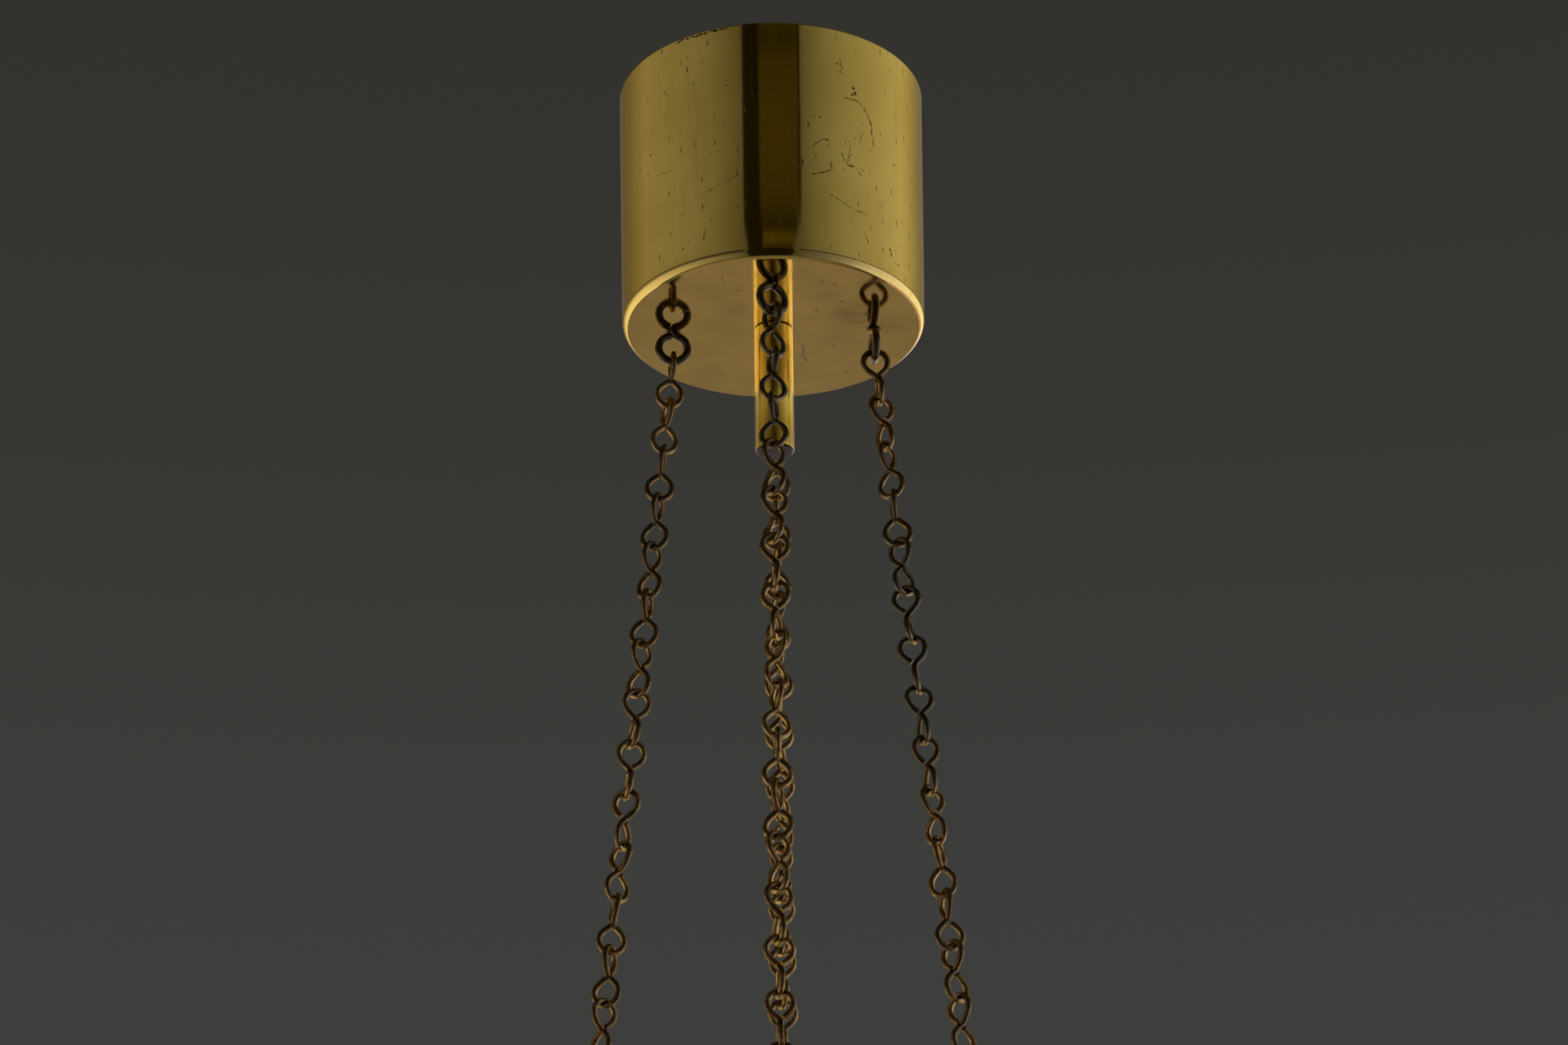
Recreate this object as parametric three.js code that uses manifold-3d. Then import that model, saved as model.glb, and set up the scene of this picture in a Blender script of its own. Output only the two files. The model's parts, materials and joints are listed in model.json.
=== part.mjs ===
// Hanging candelabra: a brass ceiling cup with a closed stem, four jack chains that spread as they
// drop, and a flat ring with four candle cups. Millimetres, +Z up, origin at the middle of the cup's
// open rim, in the ceiling plane. The side that faces a person who looks at it is -Y.
import * as THREE from 'three';
import { mergeVertices } from 'three/addons/utils/BufferGeometryUtils.js';
import Module from 'manifold-3d';

const wasm = await Module();
wasm.setup();

// Fits
const seatGap = 0.3;          // between two pieces that bear on each other
const linkGap = 0.35;         // between two links that hang in each other
const endGap = 0.85;          // between a chain's last link and the eye of the ring
const boltClearance = 0.35;   // round a shank in its hole
const throughCut = 1;         // how far a cutting tool passes the face that it goes through

// Ceiling cup
const canopyHeight = 96;
const canopyBottomDiameter = 110;
const canopyTopDiameter = 112.6;
const canopyWall = 1.4;
const canopyRound = 2.8;      // rounding between wall and bottom

// Stem below the cup and the rod that carries everything
const stemDiameter = 14;
const stemLength = 49.5;
const stemBevel = 0.7;
const stemBoreDepth = 26;
const rodDiameter = 6;
const washerDiameter = 26;
const washerThickness = 1.6;
const lockNutAcross = 10;
const lockNutHeight = 5;
const hangingEyeInner = 14;
const hangingEyeWire = 4;
const hangingEyeDepth = 3;    // top of the eye below the ceiling plane
const hangingBossDiameter = 10;
const hangingBossLength = 12;
const hangingBossBore = 8;

// Eyes that hold the chains, above and below
const eyeOuterDiameter = 13.5;
const eyeWire = 3;
const eyeThreadLength = 6.5;
const eyeNutAcross = 5.5;
const eyeNutHeight = 2.4;
const canopyEyeCircle = 73;
const ringEyeInset = 31;      // of the lower eyes from the ring's outer edge

// Jack chain: each link is one wire bent to two teardrop loops at a right angle to each other
const chainWire = 2;
const linkWidth = 11.1;
const linkPitch = 19;
const linkBite = 0.25;        // how far joined links press into each other
const cutEndReach = 0.5;      // where the wire's cut end stops, as a share of the way to the waist
const loopChords = 5;
const linkSides = 5;

// Ring and candle cups
const ringOuterDiameter = 192;
const ringInnerDiameter = 112;
const ringThickness = 3;
const candleInset = 16;       // of the candle cups' middles from the ring's outer edge
const panDiameter = 46;
const panDepth = 3.2;
const panWall = 1.1;
const cupBore = 22;
const cupWall = 1.5;
const cupDepth = 18;
const cupBase = 5.5;
const cupLip = 1.2;
const screwDiameter = 4;
const screwHeadDiameter = 8;
const screwHeadHeight = 2.6;
const screwReach = 3.8;       // of the screw into the cup's base

// Links that make one node: the first and last link of each run, or a single link.
const chainRuns = ['01', '02_05', '06_09', '10_12', '13_15', '16'];

// Each chain hangs at its own side of the cup. A link's turn is the direction, in degrees from +X, to
// which its upper loop bulges where the wire runs on into the waist. At the waist the wire bends a
// quarter turn on to the lower loop, and in the links that are listed as reversed a quarter turn back.
const chains = [
  {
    name: 'left',
    azimuth: 180,
    turns: [280, 294, 270, 256, 237, 257, 232, 202, 191, 338, 314, 284, 252, 222, 200, 176],
    reversed: [2, 10, 11, 12, 13, 14, 15, 16],
  },
  {
    name: 'right',
    azimuth: 0,
    turns: [190, 212, 238, 272, 134, 345, 354, 17, 20, 218, 250, 287, 310, 312, 326, 340],
    reversed: [5, 6, 7, 11, 12, 13, 14, 15, 16],
  },
  {
    name: 'front',
    azimuth: -90,
    turns: [127, 110, 257, 225, 211, 188, 166, 313, 293, 276, 255, 222, 200, 190, 185, 178],
    reversed: [2, 8, 9, 10, 11, 12],
  },
  {
    name: 'back',
    azimuth: 90,
    turns: [60, 75, 90, 105, 120, 104, 88, 72, 56, 40, 28, 17, 5, 353, 342, 330],
    reversed: [4, 5, 9, 13, 14],
  },
];
const candleAzimuths = [-45, 45, 135, 225];

const brass = new THREE.MeshStandardMaterial({ color: 0xb59a4e, roughness: 0.32, metalness: 1 });
const stemBrass = new THREE.MeshStandardMaterial({ color: 0xc9a24d, roughness: 0.28, metalness: 1 });
const chainBrass = new THREE.MeshStandardMaterial({ color: 0x4b3a22, roughness: 0.5, metalness: 1 });
const eyeBrass = new THREE.MeshStandardMaterial({ color: 0x6d5328, roughness: 0.42, metalness: 1 });
const steel = new THREE.MeshStandardMaterial({ color: 0x8d8f92, roughness: 0.45, metalness: 1 });

const radians = THREE.MathUtils.degToRad;
const part = new THREE.Group();

// Vertices of a geometry joined by place, with the empty triangles at a pole dropped.
function weld(geometry) {
  const bare = geometry.clone();
  bare.deleteAttribute('normal');
  bare.deleteAttribute('uv');
  const merged = mergeVertices(bare, 1e-4);
  const kept = [];
  const corners = merged.index.array;
  for (let i = 0; i < corners.length; i += 3) {
    const [a, b, c] = [corners[i], corners[i + 1], corners[i + 2]];
    if (a !== b && b !== c && c !== a) kept.push(a, b, c);
  }
  merged.setIndex(kept);
  return merged;
}

function solidOf(geometry) {
  const closed = weld(geometry);
  return new wasm.Manifold(new wasm.Mesh({
    numProp: 3,
    vertProperties: new Float32Array(closed.attributes.position.array),
    triVerts: new Uint32Array(closed.index.array),
  }));
}

function geometryOf(solid) {
  const mesh = solid.getMesh();
  const geometry = new THREE.BufferGeometry();
  geometry.setAttribute('position', new THREE.BufferAttribute(new Float32Array(mesh.vertProperties), 3));
  geometry.setIndex(new THREE.BufferAttribute(new Uint32Array(mesh.triVerts), 1));
  return geometry;
}

const joined = (geometries) => geometryOf(geometries.map(solidOf).reduce((sum, next) => sum.add(next)));

const cut = (geometry, tools) => geometryOf(tools.map(solidOf).reduce((rest, tool) => rest.subtract(tool), solidOf(geometry)));

// A turned piece about +Z from [radius, height] pairs, listed upwards along its outside.
function turned(profile, segments) {
  const points = profile.map(([r, z]) => new THREE.Vector2(r, z));
  return new THREE.LatheGeometry(points, segments).rotateX(Math.PI / 2);
}

// An upright cylinder from its lowest height.
function upright(radius, low, high, segments) {
  const geometry = new THREE.CylinderGeometry(radius, radius, high - low, segments).rotateX(Math.PI / 2);
  return geometry.translate(0, 0, (low + high) / 2);
}

// Points of a quarter round from one [radius, height] centre.
function rounding(centreR, centreZ, radius, fromDegrees, toDegrees, steps) {
  return Array.from({ length: steps + 1 }, (_, i) => {
    const angle = radians(fromDegrees + (toDegrees - fromDegrees) * i / steps);
    return [centreR + radius * Math.cos(angle), centreZ + radius * Math.sin(angle)];
  });
}

// A hexagon nut with its bore, standing on the plane z = 0.
function nut(across, height, bore) {
  const outline = new THREE.Shape();
  const corner = across / 2 / Math.cos(Math.PI / 6);
  for (let i = 0; i < 6; i++) {
    const angle = i * Math.PI / 3;
    outline[i ? 'lineTo' : 'moveTo'](corner * Math.cos(angle), corner * Math.sin(angle));
  }
  outline.holes.push(new THREE.Path().absarc(0, 0, bore / 2, 0, Math.PI * 2, true));
  return new THREE.ExtrudeGeometry(outline, { depth: height, bevelEnabled: false, curveSegments: 4 });
}

function add(name, geometry, material, place = new THREE.Vector3(), turn = 0, parent = part) {
  const mesh = new THREE.Mesh(weld(geometry), material);
  mesh.name = name;
  mesh.position.copy(place);
  mesh.rotation.z = turn;
  parent.add(mesh);
  return mesh;
}

const around = (circle, degrees, z) => new THREE.Vector3(
  circle / 2 * Math.cos(radians(degrees)), circle / 2 * Math.sin(radians(degrees)), z);

// Heights
const canopyBottom = -canopyHeight;
const canopyFloor = canopyBottom + canopyWall;
const washerBottom = canopyFloor + seatGap;
const lockNutBottom = washerBottom + washerThickness + seatGap;
const stemTop = canopyBottom - seatGap;
const hangingRingRadius = (hangingEyeInner + hangingEyeWire) / 2;
const hangingRingHeight = -hangingEyeDepth - hangingEyeWire / 2 - hangingRingRadius;
const bossTop = hangingRingHeight - hangingRingRadius;
const bossBottom = bossTop - hangingBossLength;
const rodTop = bossBottom + hangingBossBore - seatGap;
const rodBottom = stemTop - stemBoreDepth + seatGap;

// Ceiling cup: one spun shell, a little wider at its rim, with holes for the rod and the four eyes.
function canopy() {
  const bottomR = canopyBottomDiameter / 2;
  const topR = canopyTopDiameter / 2;
  const innerRound = Math.max(canopyRound - canopyWall, 0.2);
  const profile = [
    [0, canopyBottom],
    ...rounding(bottomR - canopyRound, canopyBottom + canopyRound, canopyRound, -90, 0, 4),
    [topR, 0],
    [topR - canopyWall, 0],
    ...rounding(bottomR - canopyRound, canopyBottom + canopyRound, innerRound, 0, -90, 2),
    [0, canopyFloor],
  ];
  const hole = (circle, azimuth, diameter) => {
    const place = around(circle, azimuth, 0);
    const tool = upright(diameter / 2 + boltClearance, canopyBottom - throughCut, canopyFloor + throughCut, 8);
    return tool.translate(place.x, place.y, 0);
  };
  const holes = chains.map((chain) => hole(canopyEyeCircle, chain.azimuth, eyeWire));
  return cut(turned(profile, 36), [hole(0, 0, rodDiameter), ...holes]);
}

// Stem: a turned barrel, closed below, that screws on the rod and clamps the cup.
function stem() {
  const r = stemDiameter / 2;
  const boreR = rodDiameter / 2 + boltClearance;
  const low = stemTop - stemLength;
  return turned([
    [0, low],
    [r - stemBevel, low],
    [r, low + stemBevel],
    [r, stemTop],
    [boreR, stemTop],
    [boreR, stemTop - stemBoreDepth],
    [0, stemTop - stemBoreDepth],
  ], 24);
}

// Eye for the ceiling hook, with a boss that takes the top of the rod.
function hangingEye() {
  const ring = new THREE.TorusGeometry(hangingRingRadius, hangingEyeWire / 2, 8, 18).rotateX(Math.PI / 2);
  const boss = upright(hangingBossDiameter / 2, bossBottom, bossTop, 16);
  const bore = upright(rodDiameter / 2 + boltClearance, bossBottom - throughCut, bossBottom + hangingBossBore, 12);
  return cut(joined([ring.translate(0, 0, hangingRingHeight), boss]), [bore]);
}

add('canopy', canopy(), brass);
add('stem_tube', stem(), stemBrass);
add('hanging_eye', hangingEye(), steel);
add('hanging_rod', upright(rodDiameter / 2, rodBottom, rodTop, 16), steel);
add('inner_washer', cut(
  upright(washerDiameter / 2, 0, washerThickness, 24),
  [upright(rodDiameter / 2 + boltClearance, -throughCut, washerThickness + throughCut, 12)],
), steel, new THREE.Vector3(0, 0, washerBottom));
add('lock_nut', nut(lockNutAcross, lockNutHeight, rodDiameter + 2 * boltClearance), steel,
  new THREE.Vector3(0, 0, lockNutBottom));

// Eye bolt: a ring of wire whose shank stands on the ring's outside, along +Z from its centre.
const eyeRingRadius = (eyeOuterDiameter - eyeWire) / 2;
const eyeInnerRadius = eyeRingRadius - eyeWire / 2;
function eyeBolt(plateThickness) {
  const ring = new THREE.TorusGeometry(eyeRingRadius, eyeWire / 2, 6, 10).rotateX(Math.PI / 2);
  const shankTop = eyeOuterDiameter / 2 + seatGap + plateThickness + eyeThreadLength;
  return joined([ring, upright(eyeWire / 2, eyeRingRadius, shankTop, 6)]);
}

const shankBore = eyeWire + 2 * boltClearance;
const canopyEyeHeight = canopyBottom - seatGap - eyeOuterDiameter / 2;

// A wire of even thickness through a list of corners, with flat ends. firstSide is a direction
// square to the wire's start.
function wire(corners, diameter, sides, firstSide) {
  const last = corners.length - 1;
  const vertexRadius = diameter / 2 * Math.sqrt(2 * Math.PI / (sides * Math.sin(2 * Math.PI / sides)));
  const positions = [];
  const faces = [];
  const side = firstSide.clone();
  corners.forEach((corner, i) => {
    const before = corner.clone().sub(corners[Math.max(i - 1, 0)]).normalize();
    const after = corners[Math.min(i + 1, last)].clone().sub(corner).normalize();
    const along = before.add(after).normalize();
    side.addScaledVector(along, -side.dot(along)).normalize();
    const across = along.clone().cross(side);
    for (let k = 0; k < sides; k++) {
      const angle = 2 * Math.PI * k / sides;
      const point = corner.clone()
        .addScaledVector(side, vertexRadius * Math.cos(angle))
        .addScaledVector(across, vertexRadius * Math.sin(angle));
      positions.push(point.x, point.y, point.z);
    }
  });
  for (let k = 0; k < sides; k++) {
    const next = (k + 1) % sides;
    for (let i = 0; i < last; i++) {
      const [a, b, c, d] = [i * sides + k, i * sides + next, (i + 1) * sides + next, (i + 1) * sides + k];
      faces.push(a, b, c, a, c, d);
    }
    if (k > 0 && k < sides - 1) {
      faces.push(0, next, k, last * sides, last * sides + k, last * sides + next);
    }
  }
  const geometry = new THREE.BufferGeometry();
  geometry.setAttribute('position', new THREE.Float32BufferAttribute(positions, 3));
  geometry.setIndex(faces);
  return geometry;
}

// One link along Z about its waist. The upper loop lies in the XZ plane, and its wire comes into the
// waist from +X. The lower loop lies in the YZ plane, and the wire goes on to +Y or, where bendSide is -1,
// to -Y. The middle chord of each loop lies flat across its end, where the next link hangs.
const loopRadius = (linkWidth - chainWire) / 2;
const linkReach = (linkPitch + chainWire) / 2;
function linkGeometry(bendSide) {
  const touch = Math.acos(Math.min(loopRadius / (linkReach - loopRadius), 0.95));
  const bend = (2 * Math.PI - 2 * touch) / loopChords;
  const cornerRadius = loopRadius / Math.cos(bend / 4);
  const centre = linkReach - cornerRadius * Math.cos(bend / 2);
  const outline = Array.from({ length: loopChords + 1 }, (_, i) => {
    const angle = touch + bend * i;
    return [-cornerRadius * Math.sin(angle), centre - cornerRadius * Math.cos(angle)];
  });
  outline[0] = outline[0].map((value) => value * cutEndReach);
  const upper = outline.map(([across, up]) => new THREE.Vector3(across, 0, up));
  const lower = outline.map(([across, up]) => new THREE.Vector3(0, bendSide * across, -up)).reverse();
  return wire([...upper, new THREE.Vector3(), ...lower], chainWire, linkSides, new THREE.Vector3(0, 1, 0));
}

// Distance of each link's waist below the eye's bearing point. Links of one run bite into each
// other, and a run hangs in the next with a small gap.
const runs = chainRuns.map((run) => run.split('_').map(Number));
const linkCount = runs.at(-1).at(-1);
const waists = [linkPitch / 2 - linkGap];
const sameRun = (link) => runs.some((run) => run[0] < link && link <= run.at(-1));
for (let link = 2; link <= linkCount; link++) {
  waists.push(waists[link - 2] + linkPitch + (sameRun(link) ? linkBite : -linkGap));
}
const chainLength = waists[linkCount - 1] + linkPitch / 2 - endGap;
const ringEyeCircle = ringOuterDiameter - 2 * ringEyeInset;
const chainLean = Math.asin((ringEyeCircle - canopyEyeCircle) / 2 / chainLength);
const bearingHeight = canopyEyeHeight - eyeInnerRadius;
const ringEyeHeight = bearingHeight - chainLength * Math.cos(chainLean) - eyeInnerRadius;
const ringTop = ringEyeHeight - eyeOuterDiameter / 2 - seatGap;
const ringBottom = ringTop - ringThickness;

const linkForms = new Map([[1, linkGeometry(1)], [-1, linkGeometry(-1)]]);
for (const { name, azimuth, turns, reversed } of chains) {
  const eyeTurn = radians(turns[0] + 90);
  add(`${name}_canopy_eye`, eyeBolt(canopyWall), eyeBrass, around(canopyEyeCircle, azimuth, canopyEyeHeight), eyeTurn);
  add(`${name}_canopy_eye_nut`, nut(eyeNutAcross, eyeNutHeight, shankBore), steel,
    around(canopyEyeCircle, azimuth, canopyFloor + seatGap));

  const hung = new THREE.Group();
  hung.position.copy(around(canopyEyeCircle, azimuth, bearingHeight));
  hung.rotation.z = radians(azimuth);
  const leaning = new THREE.Group();
  leaning.rotation.y = -chainLean;
  hung.add(leaning);
  part.add(hung);
  runs.forEach((run, i) => {
    const links = [];
    for (let link = run[0]; link <= run.at(-1); link++) {
      const form = linkForms.get(reversed.includes(link) ? -1 : 1).clone();
      const below = waists[link - 1] - waists[run[0] - 1];
      links.push(form.rotateZ(radians(turns[link - 1] - azimuth)).translate(0, 0, -below));
    }
    const node = `${name}_${run.length > 1 ? 'links' : 'link'}_${chainRuns[i]}`;
    const geometry = links.length > 1 ? joined(links) : links[0];
    add(node, geometry, chainBrass, new THREE.Vector3(0, 0, -waists[run[0] - 1]), 0, leaning);
  });

  const ringEye = eyeBolt(ringThickness).rotateX(Math.PI);
  const ringEyeTurn = radians(turns[linkCount - 1]);
  add(`${name}_ring_eye`, ringEye, eyeBrass, around(ringEyeCircle, azimuth, ringEyeHeight), ringEyeTurn);
  add(`${name}_ring_eye_nut`, nut(eyeNutAcross, eyeNutHeight, shankBore), steel,
    around(ringEyeCircle, azimuth, ringBottom - seatGap - eyeNutHeight));
}

const candleCircle = ringOuterDiameter - 2 * candleInset;

// Candle ring: a flat annular plate drilled for the eyes and the cup screws.
function candleRing() {
  const outline = new THREE.Shape().absarc(0, 0, ringOuterDiameter / 2, 0, 2 * Math.PI, false);
  outline.holes.push(new THREE.Path().absarc(0, 0, ringInnerDiameter / 2, 0, 2 * Math.PI, true));
  const plate = new THREE.ExtrudeGeometry(outline, { depth: ringThickness, bevelEnabled: false, curveSegments: 18 });
  const drill = (circle, azimuth, diameter) => {
    const place = around(circle, azimuth, 0);
    const tool = upright(diameter / 2 + boltClearance, -throughCut, ringThickness + throughCut, 8);
    return tool.translate(place.x, place.y, 0);
  };
  return cut(plate, [
    ...chains.map((chain) => drill(ringEyeCircle, chain.azimuth, eyeWire)),
    ...candleAzimuths.map((azimuth) => drill(candleCircle, azimuth, screwDiameter)),
  ]);
}
add('candle_ring', candleRing(), brass, new THREE.Vector3(0, 0, ringBottom));

// Drip pan: a shallow dish, seated on the ring, with a hole for the screw.
function dripPan() {
  const r = panDiameter / 2;
  const holeR = screwDiameter / 2 + boltClearance;
  const flat = r - panDepth * 1.6;
  return turned([
    [holeR, 0],
    [flat, 0],
    [r, panDepth],
    [r - panWall * 0.6, panDepth + panWall * 0.6],
    [flat - panWall * 0.3, panWall],
    [holeR, panWall],
    [holeR, 0],
  ], 18);
}

// Candle cup: a turned socket with a beaded lip and a blind hole for the screw.
function candleCup() {
  const boreR = cupBore / 2;
  const outR = boreR + cupWall;
  const holeR = screwDiameter / 2 + boltClearance;
  const holeDepth = screwReach + boltClearance;
  const top = cupBase + cupDepth;
  return turned([
    [holeR, 0],
    [outR * 0.72, 0],
    [outR, cupBase],
    [outR, top - 2 * cupLip],
    [outR + cupLip, top - cupLip],
    [outR, top],
    [boreR, top],
    [boreR, cupBase],
    [0, cupBase],
    [0, holeDepth],
    [holeR, holeDepth],
    [holeR, 0],
  ], 16);
}

// Screw from below, with a rounded head.
function cupScrew(length) {
  const shankR = screwDiameter / 2;
  const headR = screwHeadDiameter / 2;
  return turned([
    [0, -screwHeadHeight],
    [headR * 0.6, -screwHeadHeight * 0.85],
    [headR, -screwHeadHeight * 0.3],
    [headR, 0],
    [shankR, 0],
    [shankR, length],
    [0, length],
  ], 12);
}

const panBottom = ringTop + seatGap;
const cupBottom = panBottom + panWall + seatGap;
const screwSeat = ringBottom - seatGap;
candleAzimuths.forEach((azimuth, i) => {
  add(`drip_pan_${i + 1}`, dripPan(), brass, around(candleCircle, azimuth, panBottom));
  add(`candle_cup_${i + 1}`, candleCup(), brass, around(candleCircle, azimuth, cupBottom));
  add(`cup_screw_${i + 1}`, cupScrew(cupBottom + screwReach - screwSeat), steel, around(candleCircle, azimuth, screwSeat));
});

export default part;
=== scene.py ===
# Hanging candelabra: a spun brass ceiling cup with its stem, four jack chains and a candle ring.
import bpy
import json
import math
import random
from mathutils import Matrix, Vector

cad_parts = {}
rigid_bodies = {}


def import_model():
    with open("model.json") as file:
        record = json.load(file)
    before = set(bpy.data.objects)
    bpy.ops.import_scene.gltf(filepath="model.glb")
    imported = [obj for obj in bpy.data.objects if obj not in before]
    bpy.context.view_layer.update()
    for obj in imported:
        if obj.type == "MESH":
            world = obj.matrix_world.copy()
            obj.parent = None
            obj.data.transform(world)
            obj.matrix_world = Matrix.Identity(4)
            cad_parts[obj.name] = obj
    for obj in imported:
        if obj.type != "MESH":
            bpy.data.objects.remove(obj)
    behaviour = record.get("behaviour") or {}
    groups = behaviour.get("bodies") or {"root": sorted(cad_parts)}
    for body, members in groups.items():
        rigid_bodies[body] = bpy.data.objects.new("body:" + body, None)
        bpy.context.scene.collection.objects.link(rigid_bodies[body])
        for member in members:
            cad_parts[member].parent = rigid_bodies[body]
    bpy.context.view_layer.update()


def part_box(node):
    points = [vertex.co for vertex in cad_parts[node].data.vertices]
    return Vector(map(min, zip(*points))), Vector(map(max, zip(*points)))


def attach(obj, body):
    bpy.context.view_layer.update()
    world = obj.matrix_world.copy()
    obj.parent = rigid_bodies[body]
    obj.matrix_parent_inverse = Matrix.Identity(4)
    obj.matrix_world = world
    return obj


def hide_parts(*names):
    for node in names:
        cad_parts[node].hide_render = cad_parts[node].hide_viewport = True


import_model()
mm = 0.001
toMm = 1000
print("frame loaded")


# Camera: a long lens that looks up at the cup from below
cameraView = {
    "lens": 99.95, "sensor": 36.0,
    "place": (10.97, -1398.2, -843.3),
    "pitch": 25.588, "roll": -0.746, "yaw": -0.330,
}


def makeCamera(view):
    pitch, roll, yaw = (math.radians(view[key]) for key in ("pitch", "roll", "yaw"))
    ahead = Vector((math.sin(yaw) * math.cos(pitch), math.cos(yaw) * math.cos(pitch), math.sin(pitch)))
    level = ahead.cross(Vector((0, 0, 1))).normalized()
    above = level.cross(ahead)
    right = math.cos(roll) * level + math.sin(roll) * above
    up = math.cos(roll) * above - math.sin(roll) * level
    data = bpy.data.cameras.new("camera")
    data.sensor_fit = "HORIZONTAL"
    data.sensor_width = view["sensor"]
    data.lens = view["lens"]
    data.clip_start = 0.05
    data.clip_end = 100
    camera = bpy.data.objects.new("camera", data)
    turn = Matrix((right, up, -ahead)).transposed().to_4x4()
    camera.matrix_world = Matrix.Translation(Vector(view["place"]) * mm) @ turn
    bpy.context.collection.objects.link(camera)
    bpy.context.scene.camera = camera


makeCamera(cameraView)
bpy.context.scene.view_settings.view_transform = "Standard"


# Node maths as expressions
class Val:
    def __init__(self, kit, socket):
        self.kit = kit
        self.socket = socket

    def maths(self, operation, first, second=0.0):
        return self.kit.node("ShaderNodeMath", {"operation": operation}, {0: first, 1: second})

    def __add__(self, other):
        return self.maths("ADD", self, other)

    def __radd__(self, other):
        return self.maths("ADD", other, self)

    def __sub__(self, other):
        return self.maths("SUBTRACT", self, other)

    def __rsub__(self, other):
        return self.maths("SUBTRACT", other, self)

    def __mul__(self, other):
        return self.maths("MULTIPLY", self, other)

    def __truediv__(self, other):
        return self.maths("DIVIDE", self, other)

    def __abs__(self):
        return self.maths("ABSOLUTE", self)

    def most(self, other):
        return self.maths("MAXIMUM", self, other)

    def least(self, other):
        return self.maths("MINIMUM", self, other)

    # 0 up to low, 1 from high on, eased between them
    def step(self, low, high):
        return self.kit.node("ShaderNodeMapRange", {"interpolation_type": "SMOOTHSTEP"}, {
            "Value": self, "From Min": low, "From Max": high})


class NodeKit:
    def __init__(self, tree):
        self.tree = tree

    # settings go in first, then the sockets' values or links
    def node(self, kind, settings=None, sockets=None, output=0):
        made = self.tree.nodes.new(kind)
        for key, value in (settings or {}).items():
            if key == "stops":
                self.setStops(made.color_ramp.elements, value)
            else:
                setattr(made, key, value)
        for key, value in (sockets or {}).items():
            self.feed(made.inputs[key], value)
        return Val(self, made.outputs[output])

    # the same, with all outputs by their names
    def outputs(self, kind, settings=None, sockets=None):
        made = self.node(kind, settings, sockets).socket.node
        return {socket.name: Val(self, socket) for socket in made.outputs}

    def setStops(self, elements, stops):
        elements.remove(elements[1])
        for i, (place, value) in enumerate(stops):
            element = elements.new(place) if i else elements[0]
            element.position = place
            element.color = (value, value, value, 1)

    def feed(self, socket, value):
        if isinstance(value, Val):
            self.tree.links.new(value.socket, socket)
        else:
            socket.default_value = value

    def objectPlace(self):
        return self.node("ShaderNodeTexCoord", output=3)

    def split(self, vector):
        return list(self.outputs("ShaderNodeSeparateXYZ", {}, {0: vector}).values())

    def join(self, x, y, z=0.0):
        return self.node("ShaderNodeCombineXYZ", {}, {0: x, 1: y, 2: z})

    def vector(self, operation, *values, output=0):
        return self.node("ShaderNodeVectorMath", {"operation": operation}, dict(enumerate(values)), output)

    def scaled(self, vector, scale):
        return self.node("ShaderNodeMapping", {}, {"Vector": vector, "Scale": scale})

    def times(self, vector, factor):
        return self.node("ShaderNodeVectorMath", {"operation": "SCALE"}, {0: vector, 3: factor})

    def noise(self, place, scale, detail=2.0, rough=0.5, output=0):
        return self.node("ShaderNodeTexNoise", {}, {
            "Vector": place, "Scale": scale, "Detail": detail, "Roughness": rough}, output)

    # a noise on each axis, from about -0.5 to 0.5
    def drift(self, place, scale, detail):
        return self.vector("SUBTRACT", self.noise(place, scale, detail, output=1), (0.5, 0.5, 0.5))

    def attribute(self, name):
        return self.node("ShaderNodeAttribute", {"attribute_name": name}, output=2)

    def mix(self, share, first, second):
        return self.node("ShaderNodeMix", {"data_type": "RGBA"}, {0: share, 6: first, 7: second}, output=2)

    def bump(self, height, depth, strength=1.0):
        return self.node("ShaderNodeBump", {}, {"Height": height, "Distance": depth, "Strength": strength})


def linear(channel):
    share = channel / 255
    return share / 12.92 if share <= 0.04045 else ((share + 0.055) / 1.055) ** 2.4


def tint(red, green, blue):
    return (linear(red), linear(green), linear(blue), 1.0)


# fixed values go on the shader's own sockets, what varies comes from paint
def makeMaterial(name, paint, fixed=None):
    made = bpy.data.materials.new(name)
    made.use_nodes = True
    kit = NodeKit(made.node_tree)
    shader = made.node_tree.nodes["Principled BSDF"]
    for socket, value in {**(fixed or {}), **paint(kit)}.items():
        kit.feed(shader.inputs[socket], value)
    return made


# Floor, world and soft panels
studio = {
    "floorHeight": -1.62, "floorHalf": 30.0, "floorTint": (208, 198, 184),
    "backTop": (51, 50, 46), "backBottom": (62, 62, 60),
    "backTopRise": 0.545, "backBottomRise": 0.315,   # sine of the height angle of each tint
    "fill": 0.72, "panelFaces": 48,
    "levelsFrom": -2, "levelsReach": 5,   # the heights that a panel's levels can stand at
}
# What a panel has unless it says otherwise; side 1 is on the right
usualPanel = {"side": 1, "radius": 1.35, "heights": (-1.6, 2.7), "gain": 1.0}
tallLevels = [(0.4, 0.3), (0.48, 1), (0.85, 1), (1.0, 0.3)]
windowFrame = {"span": (-8.2, 20.2), "tint": (255, 222, 96), "stops": [(0, 0.078), (20, 0.076)]}
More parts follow.
